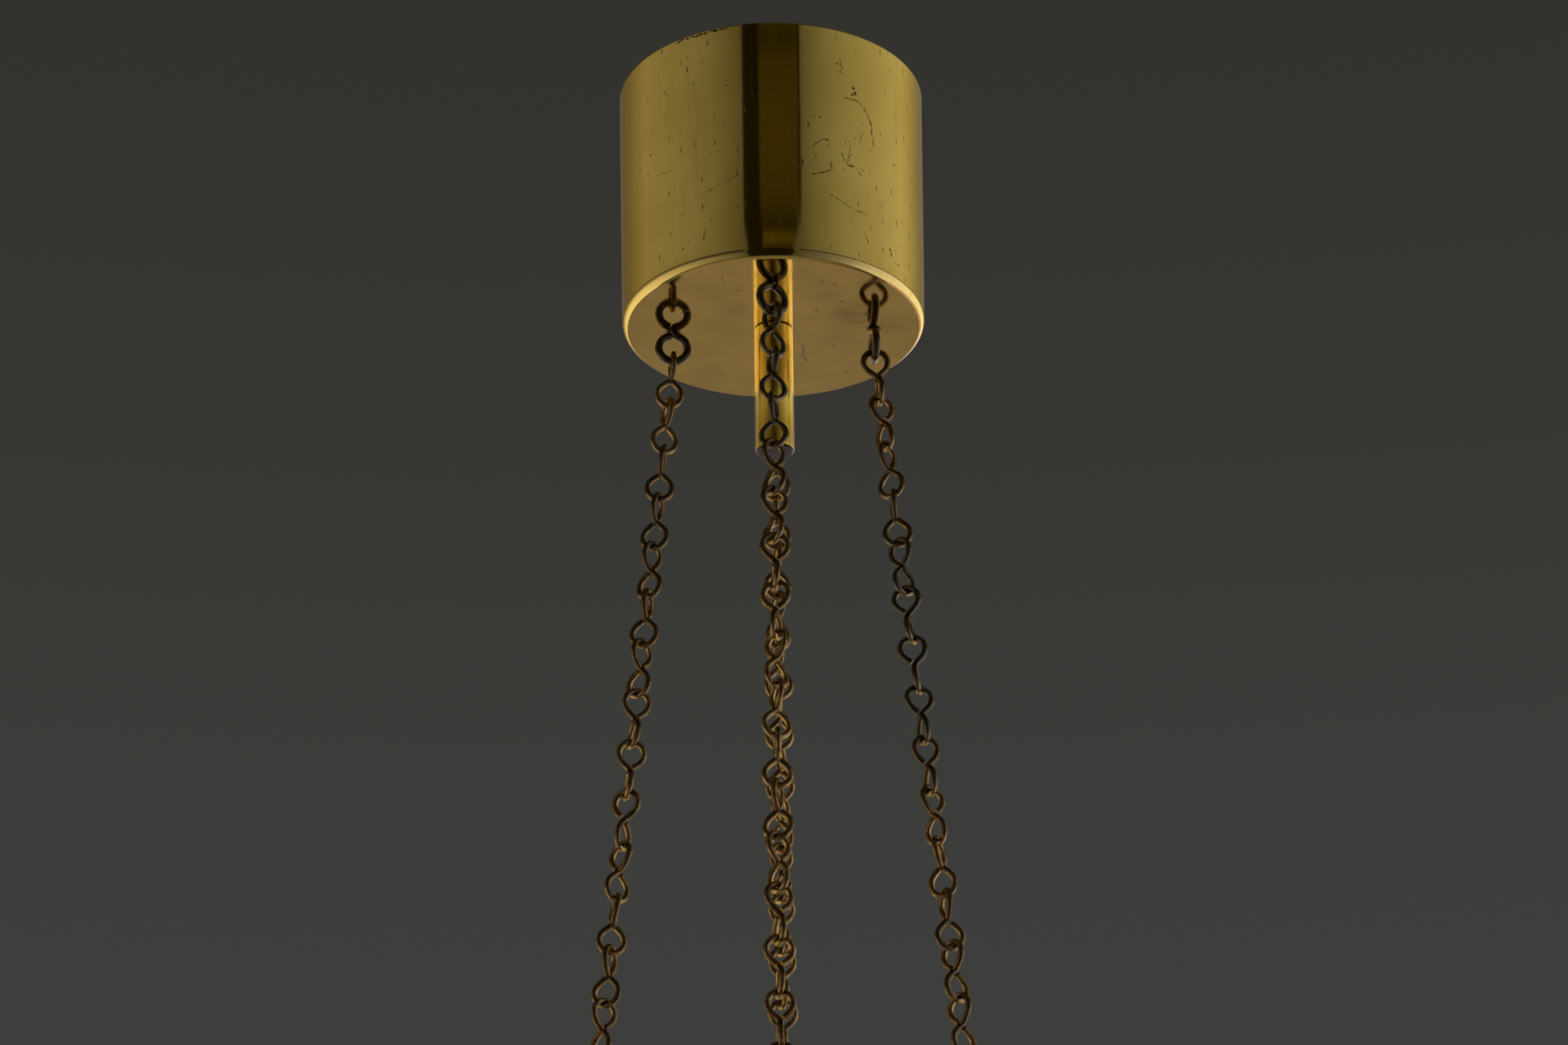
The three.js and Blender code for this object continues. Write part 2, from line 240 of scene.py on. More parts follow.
# Stops are the brightness by the angle from the front, in degrees. Between the two tall sides stands a dark
# window frame, with a lighter sill below it. The low panels light the cup's lower rounding.
panels = {
    "left": {
        "side": -1, "span": (20.4, 172), "tint": (255, 244, 218), "levels": tallLevels,
        "stops": [
            (20, 0.17), (30, 0.23), (44, 0.32), (65, 0.39), (109, 0.50), (124, 0.39), (136, 0.29),
            (150, 0.21), (172, 0.15)],
    },
    "right": {
        "span": (22.0, 172), "tint": (255, 249, 230), "levels": tallLevels,
        "stops": [
            (22, 0.17), (28, 0.24), (54, 0.47), (76, 0.60), (113, 0.84), (124, 0.72), (136, 0.52),
            (150, 0.34), (172, 0.18)],
    },
    "frame": {**windowFrame, "heights": (0.614, 0.744)},
    "frameTop": {**windowFrame, "heights": (0.767, 2.7)},
    "sill": {
        "span": (-6.6, 16.6), "heights": (0.552, 0.584), "tint": (255, 222, 90),
        "stops": [(0, 0.160), (16, 0.120)],
    },
    "behindFrame": {
        "span": (-20.8, 22.4), "radius": 1.37, "tint": (255, 226, 110), "stops": [(0, 0.016), (22, 0.018)],
    },
    "leftFoot": {
        "side": -1, "span": (17.0, 20.6), "radius": 1.34, "heights": (-1.6, 0.53, 0.60),
        "tint": (255, 244, 218), "stops": [(17, 0.12), (20, 0.16)],
    },
    "rightFoot": {
        "span": (15.6, 22.2), "radius": 1.34, "heights": (-1.6, 0.53, 0.61),
        "tint": (255, 249, 220), "stops": [(15, 0.12), (22, 0.17)],
    },
    "leftLow": {
        "side": -1, "span": (20, 172), "radius": 1.3, "heights": (-1.3, 0.5),
        "tint": (255, 244, 240), "gain": 2.2,
        "levels": [(-0.3, 1), (-0.1, 0.8), (0.1, 0.4), (0.3, 0.18), (0.5, 0.1)],
        "stops": [(20, 0.09), (40, 0.18), (58, 0.28), (75, 0.42), (105, 0.70), (130, 0.85), (172, 0.85)],
    },
    "rightLow": {
        "span": (20, 172), "radius": 1.3, "heights": (-1.3, 0.5),
        "tint": (226, 224, 250), "gain": 4.2,
        "levels": [(0.22, 1), (0.42, 0.12)],
        "stops": [(20, 0.045), (40, 0.09), (58, 0.16), (75, 0.32), (100, 0.5), (130, 0.6), (172, 0.68)],
    },
}


def link(name, data):
    made = bpy.data.objects.new(name, data)
    bpy.context.collection.objects.link(made)
    return made


def makeMesh(name, places, faces):
    mesh = bpy.data.meshes.new(name)
    mesh.from_pydata(places, [], faces)
    return link(name, mesh)


def makeFloor():
    half, height = studio["floorHalf"], studio["floorHeight"]
    corners = [(-half, -half, height), (half, -half, height), (half, half, height), (-half, half, height)]
    floor = makeMesh("floor", corners, [(0, 1, 2, 3)])

    def paint(kit):
        pale = tint(*studio["floorTint"])
        darker = tuple(channel * 0.8 for channel in pale)
        return {"Base Color": kit.mix(kit.noise(kit.objectPlace(), 3.0, 4.0) * 0.1, pale, darker)}

    floor.data.materials.append(makeMaterial("paleFloor", paint, {"Roughness": 0.9}))


def makeWorld():
    world = bpy.data.worlds.new("world")
    bpy.context.scene.world = world
    world.use_nodes = True
    kit = NodeKit(world.node_tree)
    rise = kit.split(kit.node("ShaderNodeTexCoord"))[2]
    share = rise.step(studio["backBottomRise"], studio["backTopRise"])
    seen = kit.mix(share, tint(*studio["backBottom"]), tint(*studio["backTop"]))
    rays = kit.outputs("ShaderNodeLightPath")
    direct = rays["Is Camera Ray"].most(rays["Is Glossy Ray"]).most(rays["Is Transmission Ray"])
    fill = (studio["fill"],) * 3 + (1.0,)
    background = world.node_tree.nodes["Background"]
    kit.feed(background.inputs["Color"], kit.mix(direct, fill, seen))


# A third height makes the top edge rise to it in a quarter round; levels scale the light by height
def makePanel(name, panel):
    start, end = panel["span"]
    low, high, highest = (*panel["heights"], panel["heights"][-1])[:3]
    count = studio["panelFaces"]
    places = []
    for i in range(count + 1):
        angle = math.radians(start + (end - start) * i / count)
        across = panel["side"] * panel["radius"] * math.sin(angle)
        ahead = -panel["radius"] * math.cos(angle)
        places += [(across, ahead, low), (across, ahead, high + (highest - high) * math.sqrt(i / count))]
    made = makeMesh(name, places, [(2 * i, 2 * i + 1, 2 * i + 3, 2 * i + 2) for i in range(count)])
    glow = bpy.data.materials.new(name)
    glow.use_nodes = True
    nodes = glow.node_tree.nodes
    kit = NodeKit(glow.node_tree)
    x, y, z = kit.split(kit.objectPlace())
    angle = abs(x.maths("ARCTAN2", x, y * -1.0)) / math.pi
    stops = [(degrees / 180, value) for degrees, value in panel["stops"]]
    strength = kit.node("ShaderNodeValToRGB", {"stops": stops}, {0: angle}) * panel["gain"]
    if "levels" in panel:
        low, reach = studio["levelsFrom"], studio["levelsReach"]
        levels = [((height - low) / reach, value) for height, value in panel["levels"]]
        strength = strength * kit.node("ShaderNodeValToRGB", {"stops": levels}, {0: (z - low) / reach})
    light = kit.node("ShaderNodeEmission", {}, {"Color": tint(*panel["tint"]), "Strength": strength})
    kit.feed(nodes["Material Output"].inputs["Surface"], light)
    nodes.remove(nodes["Principled BSDF"])
    made.data.materials.append(glow)
    made.visible_camera = False


makeFloor()
makeWorld()
for panelName, panel in panels.items():
    makePanel(panelName + "_panel", {**usualPanel, **panel})
print("studio ready")


# Each corner of an outline is (radius, height, rounding) in millimetres
def rounded(corners, steps=5):
    path = []
    for i, (radius, height, bend) in enumerate(corners):
        here = Vector((radius, height))
        if not bend:
            path.append(here)
            continue
        back = (Vector(corners[i - 1][:2]) - here).normalized()
        onward = (Vector(corners[(i + 1) % len(corners)][:2]) - here).normalized()
        half = back.angle(onward) / 2
        centre = here + (back + onward).normalized() * bend / math.sin(half)
        first = here + back * bend / math.tan(half) - centre
        last = here + onward * bend / math.tan(half) - centre
        sweep = math.pi - 2 * half
        for step in range(steps + 1):
            share = step / steps
            blend = first * math.sin((1 - share) * sweep) + last * math.sin(share * sweep)
            path.append(centre + blend / math.sin(sweep))
    return path


def polar(radius, angle):
    return radius * math.cos(angle), radius * math.sin(angle)


# A mesh over rings of corners in millimetres; a ring of one corner is a pole
def skin(name, rings, sides, closed=False):
    places, rows, faces = [], [], []
    for ring in rings:
        first = len(places)
        rows.append([first] * sides if len(ring) == 1 else range(first, first + sides))
        places += [(x * mm, y * mm, z * mm) for x, y, z in ring]
    for low, high in zip(rows, rows[1:] + (rows[:1] if closed else [])):
        for j in range(sides):
            k = (j + 1) % sides
            faces.append(list(dict.fromkeys([low[j], low[k], high[k], high[j]])))
    return makeMesh(name, places, faces)


# Turned about +Z from a profile listed upwards along its outside; a closed one runs back to its start
def lathe(name, profile, segments, centre=(0.0, 0.0), closed=False):
    angles = [2 * math.pi * j / segments for j in range(segments)]
    rings = []
    for radius, height in profile:
        circle = [polar(radius, angle) for angle in (angles if radius else angles[:1])]
        rings.append([(centre[0] + x, centre[1] + y, height) for x, y in circle])
    return skin(name, rings, segments, closed)


def peg(name, radius, low, high, centre=(0.0, 0.0), segments=32):
    return lathe(name, [(0, low), (radius, low), (radius, high), (0, high)], segments, centre)


# Four places at even turns round the middle
def aroundMiddle(radius, first):
    return [polar(radius, math.radians(first + 90 * i)) for i in range(4)]


# The modifiers' result as a plain mesh, with sharp edges kept
def settle(piece, sharpDegrees=32):
    graph = bpy.context.evaluated_depsgraph_get()
    solid = piece.evaluated_get(graph)
    mesh = bpy.data.meshes.new_from_object(solid, preserve_all_data_layers=True, depsgraph=graph)
    if piece.type == "MESH":
        piece.modifiers.clear()
        piece.data = mesh
    else:
        name = piece.name
        bpy.data.objects.remove(piece)
        piece = link(name, mesh)
    mesh.polygons.foreach_set("use_smooth", [True] * len(mesh.polygons))
    mesh.set_sharp_from_angle(angle=math.radians(sharpDegrees))
    return piece


def combine(piece, others, operation):
    for other in others:
        solid = piece.modifiers.new("solid", "BOOLEAN")
        solid.operation = operation
        solid.solver = "EXACT"
        solid.object = other
    settled = settle(piece)
    for other in others:
        bpy.data.objects.remove(other)
    return settled


def place(piece, body, slotName, replaced, *finishNames):
    piece.data.materials.clear()
    for name in finishNames:
        piece.data.materials.append(finishes[name])
    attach(piece, body)
    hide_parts(*replaced)


def raised(piece, height):
    piece.data.transform(Matrix.Translation((0, 0, height * mm)))
    return piece


# An open curve through places in millimetres
def lineThrough(name, places):
    data = bpy.data.curves.new(name, "CURVE")
    data.dimensions = "3D"
    spline = data.splines.new("POLY")
    spline.points.add(len(places) - 1)
    for point, where in zip(spline.points, places):
        point.co = (*(where * mm), 1)
    return data


def wireAlong(name, places, diameter, sides):
    data = lineThrough(name, places)
    data.bevel_depth = diameter / 2 * mm
    data.bevel_resolution = sides // 4
    data.use_fill_caps = True
    return settle(link(name, data))


# Evens out the bends of a path, with its ends kept
def eased(places, rounds):
    path = [Vector(where) for where in places]
    for _ in range(rounds):
        path = [path[0]] + [(a + 2 * b + c) / 4 for a, b, c in zip(path, path[1:], path[2:])] + [path[-1]]
    return path


# A node tree with its inputs as values
def startTree(name, inputs):
    tree = bpy.data.node_groups.new(name, "GeometryNodeTree")
    for label, kind in inputs.items():
        tree.interface.new_socket(label, in_out="INPUT", socket_type="NodeSocket" + kind)
    tree.interface.new_socket("Result", in_out="OUTPUT", socket_type="NodeSocketGeometry")
    kit = NodeKit(tree)
    source = tree.nodes.new("NodeGroupInput").outputs
    return kit, {label: Val(kit, source[label]) for label in inputs}


def endTree(kit, whole, finish):
    whole = kit.node("GeometryNodeSetMaterial", {}, {"Geometry": whole, "Material": finish})
    kit.feed(kit.tree.nodes.new("NodeGroupOutput").inputs["Result"], whole)
    return kit.tree


def addTree(piece, tree, values):
    made = piece.modifiers.new("nodes", "NODES")
    made.node_group = tree
    for item in tree.interface.items_tree:
        if item.in_out == "INPUT" and item.name in values:
            made[item.identifier] = values[item.name]


# Ceiling cup
cup = {
    "bottom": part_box("canopy")[0].z / mm, "bottomRadius": 55.0, "topRadius": 56.3, "wall": 1.4,
    "rounding": 3.9, "roundingTurn": 59, "roundingSteps": 16,   # it turns in this far, to an edge
    "tuck": 0.12, "tuckHeight": 13.0,   # the wall draws in a little just above its lower rounding
    "rows": 6, "rowStep": 0.4, "rowShares": (0.8, 0.6, 0.4, 0.2, 0.08, 0.02, 0.006),
    "innerStep": 20.0, "rimBend": 0.3, "edgeRow": 0.3,   # the flat bottom has a row this far inside its edge
    # the last pair is the inner and outer radius of a painted shade ring round each eye's hole
    "segments": 240, "rodHole": 3.35, "eyeHole": 1.85, "eyeCircle": 36.5, "eyeShade": (2.3, 3.1),
    "edgeBand": (3.0, 6.0),   # heights above the bottom between which the specks of the rounding end
    "shadeEdge": 1.3, "shadeFade": 0.2,   # on the right the innermost part of the rounding gets a brown painted shade
}

# Finishes
brass = {
    "wall": (190, 169, 95), "wallDeep": (180, 158, 84), "disc": (188, 158, 88), "discDeep": (172, 142, 76),
    "stem": (240, 218, 112), "stemDeep": (226, 200, 96), "stemLow": (236, 196, 78), "speck": (52, 36, 14),
    "stain": (74, 52, 20), "paintedShadeBrown": (132, 98, 52),
    "stemLowBand": (-135.0, -120.0),   # heights between which the stem turns warmer downwards
}
# Scratches on the wall: width, depth and places as (way round from the front, height), in millimetres
wallScratches = [
    (0.26, 1, [(28, -27.5), (33.8, -27.7), (37.5, -31.5), (39.3, -36), (39.6, -39.2), (40.3, -43.4)]),
    (0.22, 0.9, [(26.1, -51), (28.7, -55.6), (31.7, -55.4), (34.1, -57.7)]),
    (0.20, 0.9, [(14.5, -61.9), (19, -60.5), (23.4, -58.3)]),
    (0.34, 1, [(11.6, -56.6), (10.7, -59.7)]),
    (0.44, 1, [(48.2, -82.9), (48.9, -85.6)]),
    (0.20, 0.8, [(14, -51.9), (16.7, -48.9), (19.8, -46.3)]),
    (0.14, 0.6, [(-26.7, -67.6), (-18.7, -65.5), (-11.1, -62.2)]),
    (0.34, 1, [(-36, -1.5), (-31.7, -1), (-27.6, -1.2), (-24.9, -0.9), (-21, -1.1), (-15.2, -0.8)]),
    (0.18, 0.8, [(-42, -18), (-40.6, -21)]),
    (0.18, 0.8, [(22, -69), (29.5, -72.6), (37, -73.1)]),
    (0.22, 0.9, [(26, -12.5), (26.9, -16)]),
    (0.18, 0.8, [(34, -44), (35.4, -39)]),
    (0.18, 0.8, [(30.4, -50), (28.6, -54), (29.9, -47.5)]),
    (0.20, 0.8, [(35.6, -80.5), (37.2, -84.4)]),
    (0.16, 0.7, [(-45.2, -52.5), (-39.8, -53.1)]),
    (0.18, 0.9, [(-24, -82), (-25, -86.4)]),
    (0.16, 0.7, [(1, -28.6), (3.8, -26.8)]),
    (0.14, 0.6, [(5.2, -70), (4.1, -77), (3.4, -83)]),
]
# Pits on the wall: way round from the front, height and radius
wallPits = [
    (31.5, -22.7, 0.75), (32.1, -24.6, 0.8), (30.8, -25.4, 0.5), (35.2, -36.4, 0.3), (32.2, -43.5, 0.35),
    (28.1, -46.7, 0.3), (34.9, -55.4, 0.3), (18.1, -38.2, 0.35), (24.9, -14.3, 0.4), (26.5, -17.7, 0.35),
    (25.2, -17.7, 0.3), (51.2, -46.9, 0.5), (47.5, -91.4, 0.3), (33.8, -85.4, 0.3), (36.9, -66.4, 0.35),
    (33.2, -73.3, 0.3), (53, -87.4, 0.4), (-39.7, -5.3, 0.35), (-24.5, -11.8, 0.35), (-15.5, -24.9, 0.35),
    (-49, -42.2, 0.5), (-28, -66.8, 0.35), (-33.5, -87, 0.4), (-37.3, -93, 0.3), (-26.2, -83.9, 0.3),
    (-11.6, -75.1, 0.35), (-22, -78.7, 0.3), (-14, -56.1, 0.3), (20.6, -47, 0.45), (16.4, -37.8, 0.3),
    (22.4, -58, 0.35), (26.8, -57.4, 0.3), (11.6, -9, 0.35), (38.6, -46, 0.3), (-41.6, -29, 0.3),
]
# The same on the bottom of the cup, as (x, y)
discScratches = [
    (0.26, 1, [(9.7, 10.3), (10.9, 14), (10.5, 19.2), (11.1, 22.5), (12.4, 25.2)]),
    (0.16, 0.8, [(-23.1, 8), (-19.4, 9.2), (-15.7, 8.2), (-12.7, 9.6), (-8.2, 7.8)]),
    (0.16, 0.8, [(-17.4, -44), (-17.8, -38), (-16.6, -33)]),
    (0.14, 0.6, [(24, -9.5), (31, -5.2), (35.5, -6)]),
    (0.14, 0.6, [(-33, -14), (-27.5, -18.5)]),
    (0.14, 0.6, [(27, 8), (31.5, 17)]),
]
discPits = [
    (15.8, -14.6, 0.8), (33.5, -10.9, 0.7), (24.6, -20.5, 0.8), (34.3, 24, 0.7), (42.2, 30, 0.7),
    (26.5, 33.5, 0.8), (21.6, 13.3, 0.7), (25.5, 15.4, 0.6), (-30, 20, 0.7), (-41, -6, 0.6),
    (-20, 34, 0.7), (-12, -30, 0.7), (18, -36, 0.9), (22.4, -34, 0.8),
]
# Smudges on the bottom of the cup: middle, radius and depth
discSmudges = [
    (18, -28, 12, 0.5), (30, -12, 14, 0.6), (42, -2, 10, 0.5), (22, 4, 9, 0.3),
    (-36, 4, 10, 0.25), (-14, -16, 10, 0.2),
]


# Round spots: middle, radius and depth; core is the share of the radius that is at full depth
def spotted(kit, flat, spots, core):
    whole = None
    for x, y, radius, depth in spots:
        distance = kit.vector("DISTANCE", flat, (x, y, 0), output=1)
        spot = (1 - distance.step(radius * core, radius)) * depth
        whole = whole.most(spot) if whole else spot
    return whole


# 1 on the listed scratches and pits, 0 elsewhere; flat holds millimetres
def scratched(kit, flat, scratches, pits):
    flat = kit.vector("MULTIPLY_ADD", kit.drift(flat, 0.5, 3), (1.6, 1.6, 0.0), flat)
    whole = None
    for width, depth, points in scratches:
        nearest = None
        for (x0, y0), (x1, y1) in zip(points, points[1:]):
            along = Vector((x1 - x0, y1 - y0, 0))
            offset = kit.vector("SUBTRACT", flat, (x0, y0, 0))
            share = kit.vector("DOT_PRODUCT", offset, tuple(along), output=1) / along.length_squared
            foot = kit.times(tuple(along), share.most(0.0).least(1.0))
            distance = kit.vector("DISTANCE", offset, foot, output=1)
            nearest = nearest.least(distance) if nearest else distance
        mark = (1 - nearest.step(width * 0.6, width * 1.4)) * depth
        whole = whole.most(mark) if whole else mark
    whole = whole * kit.noise(flat, 0.9, 2).step(0.38, 0.5)
    return whole.most(spotted(kit, flat, [(*pit, 0.95) for pit in pits], 0.6))


# Chance dots: a cell's colour says whether it has one and how deep it is
def specks(kit, place, scale, size, share):
    cells = kit.outputs("ShaderNodeTexVoronoi", {"voronoi_dimensions": "2D"}, {
        "Vector": place, "Scale": scale})
    chance, depth = kit.split(cells["Color"])[:2]
    dot = 1 - cells["Distance"].step(size * 0.4, size * 1.2)
    return dot * chance.step(1 - share, 1 - share + 0.01) * (depth * 0.6 + 0.4)


def paintWall(kit):
    place = kit.objectPlace()
    x, y, z = kit.split(place)
    way = x.maths("ARCTAN2", x, y * -1.0) * cup["bottomRadius"]
    unrolled = kit.join(way, z * toMm)
    fine = kit.noise(kit.scaled(place, (1, 1, 0.02)), 3200, 3, 0.6)
    broad = kit.noise(kit.scaled(place, (1, 1, 0.1)), 240, 4, 0.65)
    cloud = kit.noise(place, 26, 3, 0.5)
    marks = scratched(kit, unrolled, wallScratches, wallPits)
    dots = specks(kit, kit.scaled(unrolled, (1, 0.5, 1)), 0.33, 0.08, 0.24)
    hairs = specks(kit, kit.scaled(unrolled, (1, 0.2, 1)), 0.36, 0.11, 0.3)
    marks = marks.most(dots * cloud.step(0.4, 0.6)).most(hairs * cloud.step(0.35, 0.55) * 0.9)
    nearEdge = 1 - z.step(*((cup["bottom"] + height) * mm for height in cup["edgeBand"]))
    marks = marks.most(specks(kit, unrolled, 0.8, 0.13, 0.2) * nearEdge)
    colour = kit.mix(cloud.step(0.3, 0.7), tint(*brass["wallDeep"]), tint(*brass["wall"]))
    colour = kit.mix(broad.step(0.5, 0.8) * 0.12, colour, tint(*brass["stain"]))
    # Painted shade: a brown band on the innermost part of the lower rounding, on the right side only
    edge, fade = cup["bottomRadius"] - cup["shadeEdge"], cup["shadeFade"]
    inward = 1 - kit.vector("LENGTH", kit.join(x, y), output=1).step((edge - fade) * mm, (edge + fade) * mm)
    onRight = x.step(0.0, 0.03)
    colour = kit.mix(inward * onRight * nearEdge, colour, tint(*brass["paintedShadeBrown"]))
    colour = kit.mix(marks, colour, tint(*brass["speck"]))
    return {
        "Base Color": colour,
        "Roughness": 0.055 + fine * 0.03 + broad.step(0.5, 0.8) * 0.03 + marks * 0.35,
        "Metallic": 1 - marks * 0.4,
        "Normal": kit.bump(fine * 0.15 + cloud - marks, 0.00002, 0.35),
    }


def paintDisc(kit):
    place = kit.objectPlace()
    x, y = kit.split(place)[:2]
    flat = kit.join(x * toMm, y * toMm)
    cloud = kit.noise(place, 45, 4, 0.6)
    smudge = kit.noise(kit.scaled(place, (1, 2.4, 1)), 90, 5, 0.65)
    grain = kit.noise(place, 1100, 3, 0.6)
    marks = scratched(kit, flat, discScratches, discPits)
    marks = marks.most(specks(kit, flat, 0.3, 0.05, 0.14) * 0.7)
    # Painted shade: a dark ring round each eye's hole, where the eye meets the bottom
    wide, deep = abs(x) * toMm, abs(y) * toMm
    fromEye = kit.vector("LENGTH", kit.join(wide.most(deep) - cup["eyeCircle"], wide.least(deep)), output=1)
    seat = 1 - fromEye.step(*cup["eyeShade"])
    dull = spotted(kit, flat, discSmudges, 0.2) * smudge.step(0.3, 0.65)
    colour = kit.mix(cloud.step(0.3, 0.7), tint(*brass["discDeep"]), tint(*brass["disc"]))
    colour = kit.mix((smudge.step(0.55, 0.85) * 0.2).most(dull * 0.6), colour, tint(*brass["stain"]))
    colour = kit.mix(marks.most(seat * 0.85), colour, tint(*brass["speck"]))
    return {
        "Base Color": colour,
        "Roughness": 0.05 + smudge.step(0.4, 0.8) * 0.06 + grain * 0.03 + marks * 0.3 + dull * 0.1,
        "Metallic": 1 - marks * 0.4,
        "Normal": kit.bump(cloud + grain * 0.04 - marks, 0.00002, 0.35),
    }


def paintStem(kit):
    place = kit.objectPlace()
    fine = kit.noise(kit.scaled(place, (1, 1, 0.05)), 2400, 3, 0.6)
    broad = kit.noise(kit.scaled(place, (1, 1, 0.3)), 260, 3, 0.6)
    colour = kit.mix(broad.step(0.35, 0.7), tint(*brass["stem"]), tint(*brass["stemDeep"]))
    below = 1 - kit.split(place)[2].step(*(height * mm for height in brass["stemLowBand"]))
    return {
        "Base Color": kit.mix(below, colour, tint(*brass["stemLow"])),
        "Roughness": 0.15 + fine * 0.04 + broad * 0.04,
        "Normal": kit.bump(fine, 0.00002, 0.15),
    }


def paintDull(first, second, rough):
    def paint(kit):
        place = kit.objectPlace()
        cloud = kit.noise(place, 120, 4, 0.6)
        return {
            "Base Color": kit.mix(cloud.step(0.3, 0.7), tint(*first), tint(*second)),
            "Roughness": rough + cloud * 0.15,
            "Normal": kit.bump(kit.noise(place, 900, 3), 0.00003, 0.5),
        }
    return paint


patina = {
    "dark": (77, 61, 41), "green": (66, 61, 47), "gold": (154, 125, 74), "worn": (176, 150, 110),
    # the last tint is painted light on the eye's upper side
    "eye": (58, 53, 36), "eyeCloud": (100, 87, 54), "eyePaintedLight": (120, 105, 62),
}


def paintEye(kit):
    place = kit.objectPlace()
    cloud = kit.noise(place, 260, 4, 0.6)
    pits = kit.noise(place, 1500, 3, 0.6)
    # Painted light: the parts of the eye that face up turn lighter and golden, so their mirror image in the
    # cup's bottom looks lit
    upward = kit.attribute("upward").step(0.1, 0.8)
    colour = kit.mix(cloud.step(0.5, 0.85), tint(*patina["eye"]), tint(*patina["eyeCloud"]))
    return {
        "Base Color": kit.mix(upward * 0.7, colour, tint(*patina["eyePaintedLight"])),
        "Roughness": 0.16 + pits * 0.14,
        "Normal": kit.bump(cloud + pits * 0.3, 0.00012, 0.5),
    }


def paintChain(kit):
    place = kit.objectPlace()
    tone, wear, inner = (kit.attribute(name) for name in ("tone", "wear", "inner"))
    cloud = kit.noise(place, 330, 4, 0.6)
    pits = kit.noise(place, 1700, 3, 0.6)
    # Painted reflection: the insides of the loops turn more golden, as if mirroring the wire across the loop
    gilt = (tone * 0.8 + (cloud - 0.5) * 1.2 + wear * 0.15 + inner * 0.4).step(0.25, 1.15)
    base = kit.mix(tone.step(0.05, 0.3), tint(*patina["green"]), tint(*patina["dark"]))
    colour = kit.mix(gilt, base, tint(*patina["gold"]))
    colour = kit.mix(wear * 0.25, colour, tint(*patina["worn"]))
    return {
        "Base Color": colour,
        "Roughness": 0.17 + pits * 0.16,
        "Normal": kit.bump(cloud + pits * 0.3, 0.00012, 0.5),
    }


metal = {"Metallic": 1.0}
darkRims = {"Specular Tint": (0.4, 0.37, 0.2, 1.0)}
finishes = {
    "wall": makeMaterial("wallBrass", paintWall, {"Specular Tint": (0.88, 0.76, 0.54, 1.0)}),
    "disc": makeMaterial("discBrass", paintDisc),
    "inside": makeMaterial("insideBrass", paintDull((120, 96, 50), (92, 72, 38), 0.4), metal),
    "stem": makeMaterial("stemBrass", paintStem, metal),
    "stemEnd": makeMaterial("stemEndBrass", paintDull((50, 42, 26), (40, 33, 20), 0.45), metal),
    "eye": makeMaterial("eyePatina", paintEye, {"Metallic": 0.9, "Specular Tint": (0.8, 0.75, 0.68, 1.0)}),
    "chain": makeMaterial("chainPatina", paintChain, {"Metallic": 0.93, **darkRims}),
    "steel": makeMaterial("steel", paintDull((150, 150, 150), (120, 119, 116), 0.35), metal),
    "ring": makeMaterial("ringBrass", paintDull((196, 170, 96), (176, 148, 78), 0.18), metal),
}
print("finishes ready")


# The wall widens upwards
def wallRadius(height):
    rise = height - cup["bottom"]
    taper = (cup["topRadius"] - cup["bottomRadius"]) * rise / -cup["bottom"]
    low = max(0.0, 1 - rise / cup["tuckHeight"])
    return cup["bottomRadius"] + taper - cup["tuck"] * low * low


def makeCup():
    bottom, bend, wall = cup["bottom"], cup["rounding"], cup["wall"]
    sweep = math.radians(cup["roundingTurn"])
    rise = bend * math.sin(sweep)
    heights = [bottom + rise + cup["rowStep"] * i * i for i in range(cup["rows"])]
    heights += [bottom * share for share in cup["rowShares"]]
    side = [(wallRadius(height), height) for height in heights]
    innerSide = [(radius - wall, height) for radius, height in reversed(side)]
    floor, step, top, rim = bottom + wall, cup["innerStep"], cup["topRadius"], cup["rimBend"]
    middle = wallRadius(bottom + rise) - bend
    profile = [(0, bottom), (step, bottom), (middle + bend * math.cos(sweep) - cup["edgeRow"], bottom)]
    for i in range(cup["roundingSteps"]):
        turn = sweep * (1 - i / cup["roundingSteps"])
        profile.append((middle + bend * math.cos(turn), bottom + rise - bend * math.sin(turn)))
    profile += side
    profile += rounded([(*side[-1], 0), (top, 0, rim), (top - wall, 0, rim), (*innerSide[0], 0)], 3)[1:-1]
    profile += innerSide + [(middle, floor), (step, floor), (0, floor)]
    shell = lathe("ceiling_cup_shell", [Vector(corner) for corner in profile], cup["segments"])
    holes = [peg("hole", cup["rodHole"], bottom - 1, floor + 1)]
    for where in aroundMiddle(cup["eyeCircle"], 0):
        holes.append(peg("hole", cup["eyeHole"], bottom - 1, floor + 1, where, 24))
    combine(shell, holes, "DIFFERENCE")
    place(shell, "ceiling_cup", "canopy_brass", ["canopy"], "wall", "disc", "inside")
    for face in shell.data.polygons:
        centre = face.center / mm
        outward = Vector((centre.x, centre.y, 0)).normalized()
        if face.normal.z < -0.999 and centre.z < bottom + 0.1:
            face.material_index = 1
        elif face.normal.z > 0.5 or face.normal.dot(outward) < -0.5:
            face.material_index = 2


makeCup()

# Stem below the cup
stem = {
    "radius": 7.0, "top": cup["bottom"] - 0.3, "length": 49.5, "bevel": 0.7, "bore": 3.35, "boreDepth": 26.0,
}


def makeStem():
    top, radius, bore, bevel = stem["top"], stem["radius"], stem["bore"], stem["bevel"]
    low = top - stem["length"]
    deep = top - stem["boreDepth"]
    profile = rounded([
        (0, low, 0), (radius - bevel, low, 0.12), (radius, low + bevel, 0.25), (radius, top, 0.25),
        (bore, top, 0.2), (bore, deep, 0), (0, deep, 0)], 4)
    barrel = settle(lathe("stem", profile, 96))
    place(barrel, "ceiling_cup", "stem_brass", ["stem_tube"], "stem", "stemEnd")
    for face in barrel.data.polygons:
        if face.normal.z < -0.5:
            face.material_index = 1


makeStem()
print("cup and stem ready")

